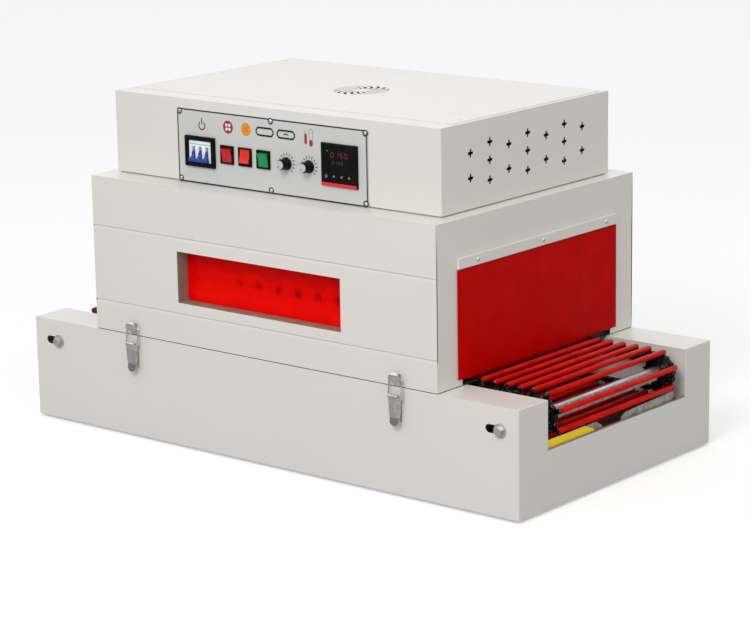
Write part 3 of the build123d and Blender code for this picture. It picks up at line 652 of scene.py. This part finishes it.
# Hood: folded walls and roof of 1.5 mm sheet with two pressed creases along the front and
# back, coated like the base. It lifts off when the draw latches are opened.
seam_z = base_high.z
seam_gap = 0.0012
for sheet in ("hood_front_wall", "hood_rear_wall", "hood_left_end_wall", "hood_right_end_wall", "hood_roof"):
    piece = shaped_from(sheet, sheet + "_sheet", 0.0005, cream_paint)
    for vertex in piece.data.vertices:
        if vertex.co.z < seam_z + 0.0008:
            vertex.co.z += seam_gap


def film(outlines, thickness, matrix):
    """A thin flat piece cut to closed outlines in millimetres; an outline in another is a hole."""
    bpy.ops.object.select_all(action="DESELECT")
    drawing = bpy.data.curves.new("film", "CURVE")
    drawing.dimensions = "2D"
    drawing.fill_mode = "BOTH"
    drawing.extrude = thickness / 2
    for outline in outlines:
        spline = drawing.splines.new("POLY")
        spline.points.add(len(outline) - 1)
        for point, (x, y) in zip(spline.points, outline):
            point.co = (x, y, 0, 1)
        spline.use_cyclic_u = True
    piece = bpy.data.objects.new("film", drawing)
    bpy.context.scene.collection.objects.link(piece)
    bpy.context.view_layer.objects.active = piece
    piece.select_set(True)
    bpy.ops.object.convert(target="MESH")
    piece = bpy.context.object
    piece.data.transform(matrix @ Matrix.Scale(0.001, 4) @ Matrix.Translation((0, 0, thickness / 2)))
    return piece


def fitted(piece, name, material, body, slot, *replaced):
    """Name and dress an added piece, and say what carries it."""
    piece.name = name
    dressed(piece, material)
    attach(piece, body)
    if replaced:
        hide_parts(*replaced)
    return piece


def rectangle(left, bottom, right, top):
    """The corners of a rectangle."""
    return [(left, bottom), (right, bottom), (right, top), (left, top)]


# Conveyor fittings: a yellow guard strip, its pale backing and a scuffed zinc strip stand
# behind the right notch, a bare plate lies against the shaft, and a thin tan strip along the notches paints
# the brownish shade on the end plates' folded edges.
to_side = Matrix(((0, 0, 1, 0), (1, 0, 0, 0), (0, 1, 0, 0), (0, 0, 0, 1)))
strip_sheet = 1.2
lip_sheet = 1.5
strip_foot = 1000 * tray_high.z - 11.0
notch_left = 1000 * tray_low.y + 0.3
behind_lip = Matrix.Translation((tray_high.x - (strip_sheet + lip_sheet) / 1000, 0, 0)) @ to_side
further_in = Matrix.Translation((tray_high.x - (2 * strip_sheet + lip_sheet) / 1000, 0, 0)) @ to_side
yellow_paint = powder_coat("yellow_paint", (1.0, 0.78, 0.002), (0.96, 0.70, 0.002), 0.4)
strip = film(
    [[(notch_left, strip_foot), (-60.0, strip_foot), (-60.0, 99.0), (-84.0, 109.0), (notch_left, 109.0)]],
    strip_sheet, behind_lip)
bevelled(strip, 0.0003, 2)
fitted(strip, "yellow_guard_strip", yellow_paint, "cabinet", "orange_plastic")
scuffed = Finish("scuffed_zinc", Metallic=0.45)
scuffs = scuffed.place.noise(90.0, 5.0)
scuffed.set(
    Base_Color=scuffs.spread(0.35, 0.65).tint((0.23, 0.21, 0.19), (0.47, 0.45, 0.42)),
    Roughness=scuffs * 0.3 + 0.35)
scuffed.relief(scuffed.place.noise(300.0, 3.0), 0.0002, 0.5)
backing = film(
    [[(-110.0, strip_foot), (-38.0, strip_foot), (-38.0, 99.0), (-52.0, 108.0), (-110.0, 108.0)]],
    strip_sheet, further_in)
far_strip = film(
    [[(11.0, strip_foot), (155.0, strip_foot), (155.0, 110.5), (24.0, 107.0), (11.0, 101.0)]],
    strip_sheet, behind_lip)
guard_reach = 1000 * half_roller - 14.0
shaft_guard = film(
    [rectangle(-guard_reach, 1000 * shaft_z - 8.0, guard_reach, 1000 * shaft_z + 8.5)],
    strip_sheet, Matrix.Translation((idler_x + shaft_radius, 0, 0)) @ to_side)
zinc_strips = joined([backing, far_strip, shaft_guard], "strips")
bevelled(zinc_strips, 0.0003, 2)
fitted(zinc_strips, "zinc_strips", scuffed.material, "cabinet", "galvanised_sheet")
# Tan notch strip: painted shade, tinted by the rollers' red, on the notches' edges where the end plates'
# folds lie in shade.
painted_shade_tape = Finish("tan_painted_shade_strip", Roughness=0.7)
shade_strip_unevenness = painted_shade_tape.place.noise(120.0, 3.0).spread(0.3, 0.7)
painted_shade_tape.set(Base_Color=shade_strip_unevenness.tint((0.19, 0.13, 0.08), (0.34, 0.26, 0.19)))
notch_right = 1000 * tray_high.y - 0.3
shade_strip_width = 1.8
shade_strip_height = 2.2
shade_strip_edge = 1000 * end_high.x - 0.1
painted_shade_strips = [
    film([rectangle(left, notch_left, left + shade_strip_width, notch_right)], shade_strip_height,
         Matrix.Translation((0, 0, notch_z)))
    for left in (shade_strip_edge - shade_strip_width, -shade_strip_edge)]
fitted(joined(painted_shade_strips, "painted_shade_strips"), "notch_painted_shade_edge", painted_shade_tape.material, "cabinet", "foot_rubber")

# Seam: a near-black strip in the gap under the hood's edge, a painted shadow that draws the dark line of the
# seam.
hood_low, hood_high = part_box("hood_front_wall")
seam_shadow_finish = Finish("seam_painted_shadow", Roughness=0.9)
seam_shadow_finish.set(Base_Color=seam_shadow_finish.place.noise(300.0).tint((0.012, 0.012, 0.012), (0.03, 0.03, 0.03)))
hood_left, hood_right, hood_front = (1000 * value for value in (hood_low.x, hood_high.x, hood_low.y))
seam_shadow_outline = [
    rectangle(hood_left + inset, hood_front + inset, hood_right - inset, -hood_front - inset)
    for inset in (1.0, 9.0)]
seam_shadow_strip = film(seam_shadow_outline, 1000 * seam_gap + 0.1, Matrix.Translation((0, 0, seam_z)))
fitted(seam_shadow_strip, "seam_painted_shadow", seam_shadow_finish.material, "cabinet", "foot_rubber")
shaped_from("chamber_liner", "heated_liner", 0.0004, galvanised.material)

# Window: a dull zinc sleeve through the wall with red heat-proof glass sunk in it. The glass is deep red,
# with painted shade in its colour for the duct and its row of dark holes behind it, and a painted band of
# light low down.
sleeve_steel = Finish("dull_zinc", Metallic=0.35)
dullness = sleeve_steel.place.noise(50.0, 4.0).spread(0.3, 0.7)
sleeve_steel.set(
    Base_Color=dullness.tint((0.23, 0.245, 0.175), (0.33, 0.32, 0.27)),
    Roughness=sleeve_steel.place.noise(80.0, 2.0) * 0.2 + 0.42)
shaped_from("window_frame", "window_sleeve", 0.0004, sleeve_steel.material)
pane_low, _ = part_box("window_glass")
hole_pitch = 0.0402
first_hole = pane_low.x + 0.112
red_glass = Finish("red_glass", IOR=1.48, Alpha=0.95, Specular_IOR_Level=0.05, Roughness=0.12)
across = red_glass.axis("X")
upward = red_glass.axis("Z") - pane_low.z


def band(height, middle, half):
    """1 on a level line, falling to 0 at half its width away."""
    away = height - middle
    return 1.0 - away.math("ABSOLUTE", away).spread(0.0, half)


wander = red_glass.place.noise(38.0, 2.0).spread(0.3, 0.7)
level = upward + wander * 0.010 - 0.005
turn = (across - first_hole) * (2 * math.pi / hole_pitch)
painted_hole_row = turn.math("COSINE", turn).spread(0.2, 1.0) * band(level, 0.0425, 0.011)
painted_hole_shade = painted_hole_row * across.spread(first_hole - 0.03, first_hole + 0.01)
# Painted shade: the duct's dark bands and its row of holes behind the glass, painted into its colour.
painted_duct_shade = band(level, 0.060, 0.012) * 0.42 + band(level, 0.044, 0.010) * 0.25 + painted_hole_shade * 0.75
# Painted light: a brighter red band low on the glass.
painted_light_band = band(level, 0.016, 0.016) * wander
dim = (painted_duct_shade * (wander * 0.6 + 0.5)).spread(0.0, 1.0)
red_with_painted_shade = dim.tint((0.84, 0.0010, 0.0), (0.26, 0.0, 0.0))
red_with_painted_light = painted_light_band.node("Mix", {"data_type": "RGBA"}, {0: painted_light_band, 6: red_with_painted_shade, 7: (1.0, 0.004, 0.0, 1)}, output=2)
red_glass.set(Base_Color=red_with_painted_light)
shaped_from("window_glass", "red_window_pane", 0.0004, red_glass.material)

# Heaters: quartz tubes across the chamber with white ceramic end blocks.
ceramic = Finish("quartz_and_ceramic", Roughness=0.5)
ceramic.set(Base_Color=ceramic.place.noise(40.0, 3.0).tint((0.72, 0.70, 0.66), (0.60, 0.57, 0.52)))
shaped_from("heater_tubes", "quartz_heaters", 0.0006, ceramic.material)


# Curtains: single sheets of red silicone that hang from clamp strips over both mouths of
# the tunnel and swing outwards as packs pass.
curtain_red = silicone("red_curtain", (0.54, 0.0006, 0.0006), (0.47, 0.0005, 0.0005), 0.42)
for side in ("right", "left"):
    low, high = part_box(side + "_curtain")
    out = 1 if side == "right" else -1
    hem_x = (low.x + high.x) / 2
    width = high.y - low.y
    top = high.z
    height = top - low.z
    bpy.ops.object.select_all(action="DESELECT")
    bpy.ops.mesh.primitive_grid_add(
        x_subdivisions=20, y_subdivisions=48, size=1.0, location=(hem_x, 0, (top + low.z) / 2),
        rotation=(0, math.radians(90), 0))
    curtain = bpy.context.object
    curtain.scale = (height - 0.0024, width, 1)
    apply_place()
    for vertex in curtain.data.vertices:
        drop = (top - vertex.co.z) / height
        ripple = 0.0006 * math.sin(vertex.co.y * 31.0) + 0.0004 * math.sin(vertex.co.y * 73.0 + 1.0)
        vertex.co.x += out * (0.0006 + ripple) * drop
    bpy.context.view_layer.objects.active = curtain
    thick = curtain.modifiers.new("thick", "SOLIDIFY")
    thick.thickness = 0.0018
    thick.offset = 0.0
    bpy.ops.object.modifier_apply(modifier="thick")
    bevelled(curtain, 0.0004, 2, 50.0)
    curtain.name = side + "_curtain_sheet"
    dressed(curtain, curtain_red.material)
    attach(curtain, side + "_curtain")
    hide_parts(side + "_curtain")
shaped_from("curtain_strips", "clamp_strips", 0.0006, cream_paint)


# Control box: a shell folded from one sheet, a flat lid with a swirl of cooling slots, and
# a printed panel on its front.
shaped_from("control_box_shell", "box_shell", 0.0005, cream_paint)
lid_sheet = shaped_from("control_box_lid", "box_lid", 0.0004, cream_paint)
lid_low, lid_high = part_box("control_box_lid")
lid_screw_height = 0.0006
for vertex in lid_sheet.data.vertices:
    if vertex.co.z > lid_high.z - 0.00045:
        vertex.co.z -= lid_screw_height
panel_grey = powder_coat("panel_grey", (0.565, 0.575, 0.56), (0.54, 0.55, 0.54), 0.42)
shaped_from("control_panel", "panel_plate", 0.0004, panel_grey)


def moulded(name, colour, roughness=0.35, grain=0.4, gloss=0.35):
    """Moulded plastic with a fine spark-eroded grain."""
    plastic = Finish(name, Specular_IOR_Level=gloss)
    dust = plastic.place.noise(60.0, 3.0)
    lighter = tuple(min(1.0, value * 1.25 + 0.003) for value in colour)
    plastic.set(
        Base_Color=dust.spread(0.4, 0.75).tint(colour, lighter), Roughness=dust * 0.12 + (roughness - 0.06))
    plastic.relief(plastic.place.noise(2400.0, 1.0), 0.00004, grain)
    return plastic.material


black_plastic = moulded("black_plastic", (0.004, 0.004, 0.0045), 0.42, 0.4, 0.08)

# Cooling fan: a black fan behind the lid's swirl of slots, seen through them, over a black disc that paints
# the shade inside the box under the slots.
fan_x = (lid_low.x + lid_high.x) / 2
fan_y = (lid_low.y + lid_high.y) / 2
hub = added(
    "primitive_cylinder_add", vertices=32, radius=0.018, depth=0.010,
    location=(fan_x, fan_y, lid_low.z - 0.011))
apply_place()
bevelled(hub, 0.0015, 2)
fan_parts = [hub]
# A solid black disc the width of the fan: painted shade that darkens the view through the slots.
painted_shade_disc = added(
    "primitive_cylinder_add", vertices=48, radius=0.060, depth=0.002,
    location=(fan_x, fan_y, lid_low.z - 0.022))
apply_place()
bevelled(painted_shade_disc, 0.0005, 1)
fan_parts.append(painted_shade_disc)
blades = 7
for number in range(blades):
    bpy.ops.object.select_all(action="DESELECT")
    bpy.ops.mesh.primitive_cube_add(size=1.0, location=(0.036, 0, 0))
    blade = bpy.context.object
    blade.scale = (0.038, 0.022, 0.0016)
    apply_place()
    bevelled(blade, 0.0006, 2)
    blade.data.transform(
        Matrix.Translation((fan_x, fan_y, lid_low.z - 0.012))
        @ Matrix.Rotation(2 * math.pi * number / blades, 4, "Z") @ Matrix.Rotation(math.radians(28), 4, "X"))
    fan_parts.append(blade)
fitted(joined(fan_parts, "fan"), "cooling_fan", black_plastic, "cabinet", "black_plastic")


# Screws: pan heads with a cross, zinc plated, on the panel, the lid and the curtain strips.
def pan_head(radius, height):
    """A domed head with a cross recess, standing up from z = 0."""
    bpy.ops.object.select_all(action="DESELECT")
    bpy.ops.mesh.primitive_uv_sphere_add(segments=20, ring_count=12, radius=radius, location=(0, 0, 0))
    head = bpy.context.object
    head.scale = (1, 1, height / radius)
    apply_place()
    bpy.ops.object.mode_set(mode="EDIT")
    bpy.ops.mesh.select_all(action="SELECT")
    bpy.ops.mesh.bisect(plane_co=(0, 0, 0), plane_no=(0, 0, 1), clear_inner=True, use_fill=True)
    bpy.ops.object.mode_set(mode="OBJECT")
    for turn in (35, 125):
        bpy.ops.object.select_all(action="DESELECT")
        bpy.ops.mesh.primitive_cube_add(
            size=1.0, location=(0, 0, height), rotation=(0, 0, math.radians(turn)))
        cutter = bpy.context.object
        cutter.scale = (radius * 1.15, radius * 0.26, height * 1.1)
        apply_place()
        cut = head.modifiers.new("cut", "BOOLEAN")
        cut.operation = "DIFFERENCE"
        cut.object = cutter
        cut.solver = "EXACT"
        bpy.context.view_layer.objects.active = head
        bpy.ops.object.modifier_apply(modifier="cut")
        bpy.data.objects.remove(cutter)
    bpy.ops.object.select_all(action="DESELECT")
    head.select_set(True)
    bpy.context.view_layer.objects.active = head
    bpy.ops.object.shade_smooth_by_angle(angle=math.radians(35))
    return head


def screws(name, radius, height, places):
    """One piece of equal screws at several places."""
    heads = placed_copies(pan_head(radius, height), places, name)
    fitted(heads, name, zinc, "cabinet", "zinc_hardware")


plate_low, plate_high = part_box("control_panel")
on_panel = Matrix.Translation((plate_low.x, plate_low.y, plate_low.z)) @ to_front
panel_screws = ((5.4, 113.0), (197.0, 113.6), (385.6, 113.0), (5.0, 5.2), (195.5, 5.0), (385.3, 5.2))
screws("panel_screws", 0.0034, 0.0018, [
    on_panel @ Matrix.Translation((x / 1000, z / 1000, 0.0)) for x, z in panel_screws])
screws("lid_screws", 0.0038, lid_screw_height, [
    Matrix.Translation((x, y, lid_high.z - lid_screw_height))
    for x in (lid_low.x + 0.010, lid_high.x - 0.012) for y in (-0.1355, 0.0245, 0.1885)])
strip_low, strip_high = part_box("curtain_strips")
strip_middle = (strip_low.z + strip_high.z) / 2
screws("strip_screws", 0.0032, 0.0016, [
    Matrix.Translation((x, y, strip_middle)) @ Matrix.Rotation(math.radians(90 * side), 4, "Y")
    for x, side in ((strip_high.x, 1), (strip_low.x, -1)) for y in (-0.159, 0.007, 0.175)])


# Panel print: a black border that bends round the screws, pictograms over the devices and
# the knobs' scales, silk-screened on the plate.
def ink(name, colour):
    """Matt printing ink with slightly uneven cover."""
    print_ink = Finish(name)
    cover = print_ink.place.noise(700.0, 2.0)
    paler = tuple(min(1.0, value * 1.3 + 0.006) for value in colour)
    print_ink.set(Base_Color=cover.spread(0.45, 0.8).tint(colour, paler), Roughness=cover * 0.1 + 0.40)
    return print_ink.material


def arc(x, y, radius, start=0.0, end=360.0, steps=32):
    """Points on a circle, from one angle to another; a full circle has no doubled point."""
    count = steps if end - start == 360.0 else steps + 1
    turns = [math.radians(start + (end - start) * step / steps) for step in range(count)]
    return [(x + radius * math.cos(turn), y + radius * math.sin(turn)) for turn in turns]


def stadium(x, y, half_length, half_height):
    """A slot's outline, longer along x than y."""
    reach = half_length - half_height
    return arc(x + reach, y, half_height, -90, 90, 12) + arc(x - reach, y, half_height, 90, 270, 12)


def upright(x, y, half_width, half_height):
    """A slot's outline, longer along y than x."""
    reach = half_height - half_width
    return arc(x, y + reach, half_width, 0, 180, 10) + arc(x, y - reach, half_width, 180, 360, 10)


def rounded(left, bottom, right, top, radius):
    """A rectangle with round corners."""
    near_x, far_x, near_y, far_y = left + radius, right - radius, bottom + radius, top - radius
    return (
        arc(far_x, far_y, radius, 0, 90, 6) + arc(near_x, far_y, radius, 90, 180, 6)
        + arc(near_x, near_y, radius, 180, 270, 6) + arc(far_x, near_y, radius, 270, 360, 6))


def band_arc(x, y, inner, outer, start, end):
    """A curved stroke."""
    return arc(x, y, outer, start, end) + arc(x, y, inner, start, end)[::-1]


def turned_bar(x, y, near, far, width, angle):
    """A straight stroke that points away from a centre."""
    turn = math.radians(angle)
    along = (math.cos(turn), math.sin(turn))
    return [
        (x + reach * along[0] - side * along[1], y + reach * along[1] + side * along[0])
        for reach, side in ((near, -width / 2), (far, -width / 2), (far, width / 2), (near, width / 2))]


def wave(x, bottom, top, swing, width):
    """An upright wavy stroke."""
    steps = 14
    line = [
        (x + swing * math.sin(2 * math.pi * 1.5 * step / steps), bottom + (top - bottom) * step / steps)
        for step in range(steps + 1)]
    return [(px - width / 2, py) for px, py in line] + [(px + width / 2, py) for px, py in line[::-1]]


panel_width = 1000 * (plate_high.x - plate_low.x)
panel_height = 1000 * (plate_high.z - plate_low.z)
power_mark = (52.8, 93.4)
fan_mark = (108.4, 96.1)
heat_mark = (146.1, 96.1)
conveyor_marks = ((184.6, 95.8), (228.1, 95.6))
thermometers = ((268.0, 95.2, 2.7, 10.6), (278.8, 95.8, 3.7, 13.7))
knob_places = ((228.7, 51.0), (274.2, 51.0))

black_print = [[
    rounded(0.3, 0.3, panel_width - 0.3, panel_height - 0.3, 3.5),
    rounded(2.5, 2.5, panel_width - 2.5, panel_height - 2.5, 2.5)]]
black_print += [[arc(x, z, 5.3)] for x, z in panel_screws]
for x, z in conveyor_marks:
    black_print.append([stadium(x, z, 18.5, 6.8), stadium(x, z, 16.7, 5.0)])
    for number in range(9):
        black_print += [[arc(x - 12.0 + 3.0 * number, z + side, 1.75, steps=12)] for side in (5.9, -5.9)]
    for side in (0, 180):
        for turn in (-60, -20, 20, 60):
            angle = math.radians(side + turn)
            reach = 11.7 if side == 0 else -11.7
            black_print.append([arc(
                x + reach + 5.9 * math.cos(angle), z + 5.9 * math.sin(angle), 1.75, steps=12)])
black_print.append([band_arc(228.1, 89.6, 6.2, 8.0, 48, 132)])
for x, z in knob_places:
    black_print += [[turned_bar(x, z, 12.4, 16.8, 1.35, 225 - 22.5 * step)] for step in range(13)]
prints = {
    "black": ("black_plastic", (0.006, 0.006, 0.007), black_print),
    "dark_red": ("red_plastic", (0.16, 0.004, 0.010), [
        [band_arc(*power_mark, 5.3, 7.4, 125, 415)], [turned_bar(*power_mark, 2.0, 11.8, 2.0, 90)]]),
    "red": ("red_plastic", (0.36, 0.006, 0.008), [
        [arc(*fan_mark, 10.3)],
        [upright(268.0, 93.4, 2.1, 8.2)], [upright(278.8, 87.6, 2.9, 5.2)]]),
    "orange": ("orange_plastic", (0.80, 0.29, 0.010), [[arc(*heat_mark, 10.3)]]),
    "teal": ("green_plastic", (0.10, 0.22, 0.21), [
        [upright(*thermometers[1]), upright(278.8, 95.8, 2.9, 12.9)],
        [upright(*thermometers[0]), upright(268.0, 95.2, 2.3, 10.2)]]),
    "white": ("white_plastic", (0.80, 0.80, 0.78), [
        [arc(fan_mark[0] + x, fan_mark[1] + z, 2.5, steps=14)]
        for x, z in arc(0, 0, 4.4, 45, 315, 3)]),
    "brown": ("orange_plastic", (0.42, 0.10, 0.006), [
        [arc(*heat_mark, 8.9), arc(*heat_mark, 8.2)]] + [
        [wave(heat_mark[0] + x, heat_mark[1] - 5, heat_mark[1] + 5, 0.8, 1.3)] for x in (-3.2, 0.0, 3.2)]),
}
over_print = ("white", "brown")
for colour_name, (slot, colour, drawings) in prints.items():
    pieces = [
        film(drawing, 0.18 if colour_name in over_print else 0.10 + 0.01 * (number % 3), on_panel)
        for number, drawing in enumerate(drawings)]
    print_ink = ink(colour_name + "_ink", colour)
    fitted(joined(pieces, "print"), "panel_print_" + colour_name, print_ink, "cabinet", slot)


# Devices: a three-pole breaker, three rockers, two knobs and a temperature controller, all
# of moulded plastic.
white_plastic = moulded("white_plastic", (0.78, 0.80, 0.81), 0.3)
blue_plastic = moulded("blue_plastic", (0.006, 0.045, 0.30), 0.3)
shaped_from("breaker_frame", "breaker_surround", 0.0008, black_plastic)
shaped_from("breaker_body", "breaker_face", 0.0005, white_plastic)
shaped_from("breaker_handle", "breaker_levers", 0.0007, blue_plastic)
shaped_from("rocker_bezels", "rocker_surrounds", 0.0008, black_plastic)
for rocker, colour in (
    ("fan_rocker", (0.50, 0.006, 0.010)),
    ("heater_rocker", (0.66, 0.022, 0.004)),
    ("conveyor_rocker", (0.003, 0.25, 0.05)),
):
    shaped_from(rocker, rocker + "_button", 0.0008, moulded(rocker + "_plastic", colour, 0.2, 0.1))
face_low, face_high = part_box("breaker_body")
breaker_print = Matrix.Translation((face_low.x, face_low.y, face_low.z)) @ to_front
face_width = 1000 * (face_high.x - face_low.x)
face_height = 1000 * (face_high.z - face_low.z)
rating_line = film(
    [rectangle(1.2, face_height - 6.4, face_width - 1.6, face_height - 4.6)], 0.1, breaker_print)
fitted(rating_line, "breaker_line", ink("pale_blue_ink", (0.22, 0.50, 0.56)), "cabinet", "white_plastic")

# Knobs: black grips with a silvery cap let into the front, marked with a line.
knob_cap = Finish("brushed_cap", Metallic=0.75)
brushing = knob_cap.place.noise(500.0, 2.0)
knob_cap.set(
    Base_Color=brushing.tint((0.74, 0.75, 0.75), (0.88, 0.88, 0.88)), Roughness=brushing * 0.2 + 0.25)
for knob, body in (("speed_knob", "speed_dial"), ("fan_knob", "fan_dial")):
    shaped_from(knob, knob + "_grip", 0.0006, black_plastic)
    knob_low, knob_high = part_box(knob)
    centre = Matrix.Translation(
        ((knob_low.x + knob_high.x) / 2, knob_low.y + 0.0001, (knob_low.z + knob_high.z) / 2)) @ to_front
    cap = film([arc(0, 0, 6.7)], 0.5, centre)
    bevelled(cap, 0.0002, 2, 50.0)
    fitted(cap, knob + "_cap", knob_cap.material, body, "knob_plastic")
    pointer = film([turned_bar(0, 0, 2.0, 6.2, 0.9, 225)], 0.58, centre)
    fitted(pointer, knob + "_pointer", black_plastic, body, "black_plastic")

# Controller: a black case with a dim display, four keys and a red light bar at its foot.
case_low, case_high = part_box("temperature_controller")
shaped_from("temperature_controller", "controller_case", 0.0006, black_plastic)
on_case = Matrix.Translation((plate_low.x, case_low.y, plate_low.z)) @ to_front
on_display = Matrix.Translation((plate_low.x, case_low.y + 0.0008, plate_low.z)) @ to_front
segment_bars = {
    "top": (0.0, 1.0, True), "middle": (0.0, 0.5, True), "bottom": (0.0, 0.0, True),
    "upper_left": (0.0, 0.5, False), "upper_right": (1.0, 0.5, False),
    "lower_left": (0.0, 0.0, False), "lower_right": (1.0, 0.0, False)}
lit_segments = {
    "0": ("top", "bottom", "upper_left", "upper_right", "lower_left", "lower_right"),
    "1": ("upper_right", "lower_right"),
    "5": ("top", "middle", "bottom", "upper_left", "lower_right"),
    "2": ("top", "middle", "bottom", "upper_right", "lower_left")}


def digits(text, left, bottom, width, height, pitch, stroke):
    """Seven-segment figures as strokes."""
    strokes = []
    for number, figure in enumerate(text):
        for segment in lit_segments[figure]:
            across_share, up_share, level_bar = segment_bars[segment]
            x = left + number * pitch + across_share * width
            y = bottom + up_share * height
            half = stroke / 2
            gap = stroke * 0.6
            if level_bar:
                strokes.append([rectangle(x + gap, y - half, x + width - gap, y + half)])
            else:
                strokes.append([rectangle(x - half, y + gap, x + half, y + height / 2 - gap)])
    return strokes


def lamp_glow(name, colour, light):
    """A lit or dimmed display element behind tinted plastic."""
    glow_finish = Finish(name, Roughness=0.35, Emission_Strength=1.0)
    uneven = glow_finish.place.noise(240.0, 2.0)
    glow_finish.set(
        Base_Color=uneven.tint(colour, tuple(value * 0.8 for value in colour)),
        Emission_Color=uneven.tint(light, tuple(value * 0.7 for value in light)))
    return glow_finish.material


figures = [film(drawing, 0.1, on_display) for drawing in digits("0150", 320.2, 70.6, 5.2, 7.4, 9.0, 1.2)]
dim_red = lamp_glow("dim_red_figures", (0.20, 0.004, 0.006), (0.10, 0.002, 0.004))
fitted(joined(figures, "figures"), "display_figures", dim_red, "cabinet", "red_plastic")
figures = [film(drawing, 0.1, on_display) for drawing in digits("0120", 322.6, 60.2, 3.0, 4.8, 5.8, 0.7)]
dim_grey = lamp_glow("dim_grey_figures", (0.05, 0.07, 0.07), (0.012, 0.02, 0.02))
fitted(joined(figures, "figures"), "set_point_figures", dim_grey, "cabinet", "black_plastic")
key_marks = [
    [arc(310.8, 40.9, 2.4, steps=16), arc(310.8, 40.9, 1.8, steps=16)],
    [[(324.2, 41.6), (327.4, 43.5), (327.4, 39.7)]],
    [[(339.4, 43.0), (343.6, 43.0), (341.5, 39.6)]],
    [[(354.2, 40.6), (358.4, 40.6), (356.3, 44.0)]],
    [arc(313.1, 80.0, 0.8, steps=10)],
    [arc(310.8, 40.9, 0.6, steps=10)]]
mark_on_display = 4
keys = [
    film(mark, 0.1, on_display if number == mark_on_display else on_case)
    for number, mark in enumerate(key_marks)]
fitted(joined(keys, "keys"), "key_marks", ink("grey_ink", (0.30, 0.31, 0.32)), "cabinet", "white_plastic")
case_left = 1000 * (case_low.x - plate_low.x)
case_right = 1000 * (case_high.x - plate_low.x)
case_foot = 1000 * (case_low.z - plate_low.z)
light_bar = film(
    [rounded(case_left + 1.0, case_foot + 0.9, case_right - 1.2, case_foot + 5.6, 0.5)], 0.3, on_case)
bevelled(light_bar, 0.0001, 1, 50.0)
bar_red = lamp_glow("red_light_bar", (0.62, 0.012, 0.008), (0.30, 0.006, 0.004))
fitted(light_bar, "controller_light_bar", bar_red, "cabinet", "red_plastic")


# Draw latches: pressed and chromed steel, riveted under and over the seam.
chrome = Finish("chrome_plate", Metallic=1.0)
swirl = chrome.place.noise(70.0, 3.0)
chrome.set(
    Base_Color=swirl.spread(0.4, 0.7).tint((0.66, 0.655, 0.64), (0.48, 0.46, 0.43)),
    Roughness=swirl * 0.14 + 0.05)
for piece_of_latch in (
    "latch_bases", "latch_catches", "left_latch_lever", "right_latch_lever", "left_latch_bail",
    "right_latch_bail", "rear_latch_levers", "rear_latch_bails",
):
    shaped_from(piece_of_latch, piece_of_latch + "_plated", 0.0003, chrome.material)
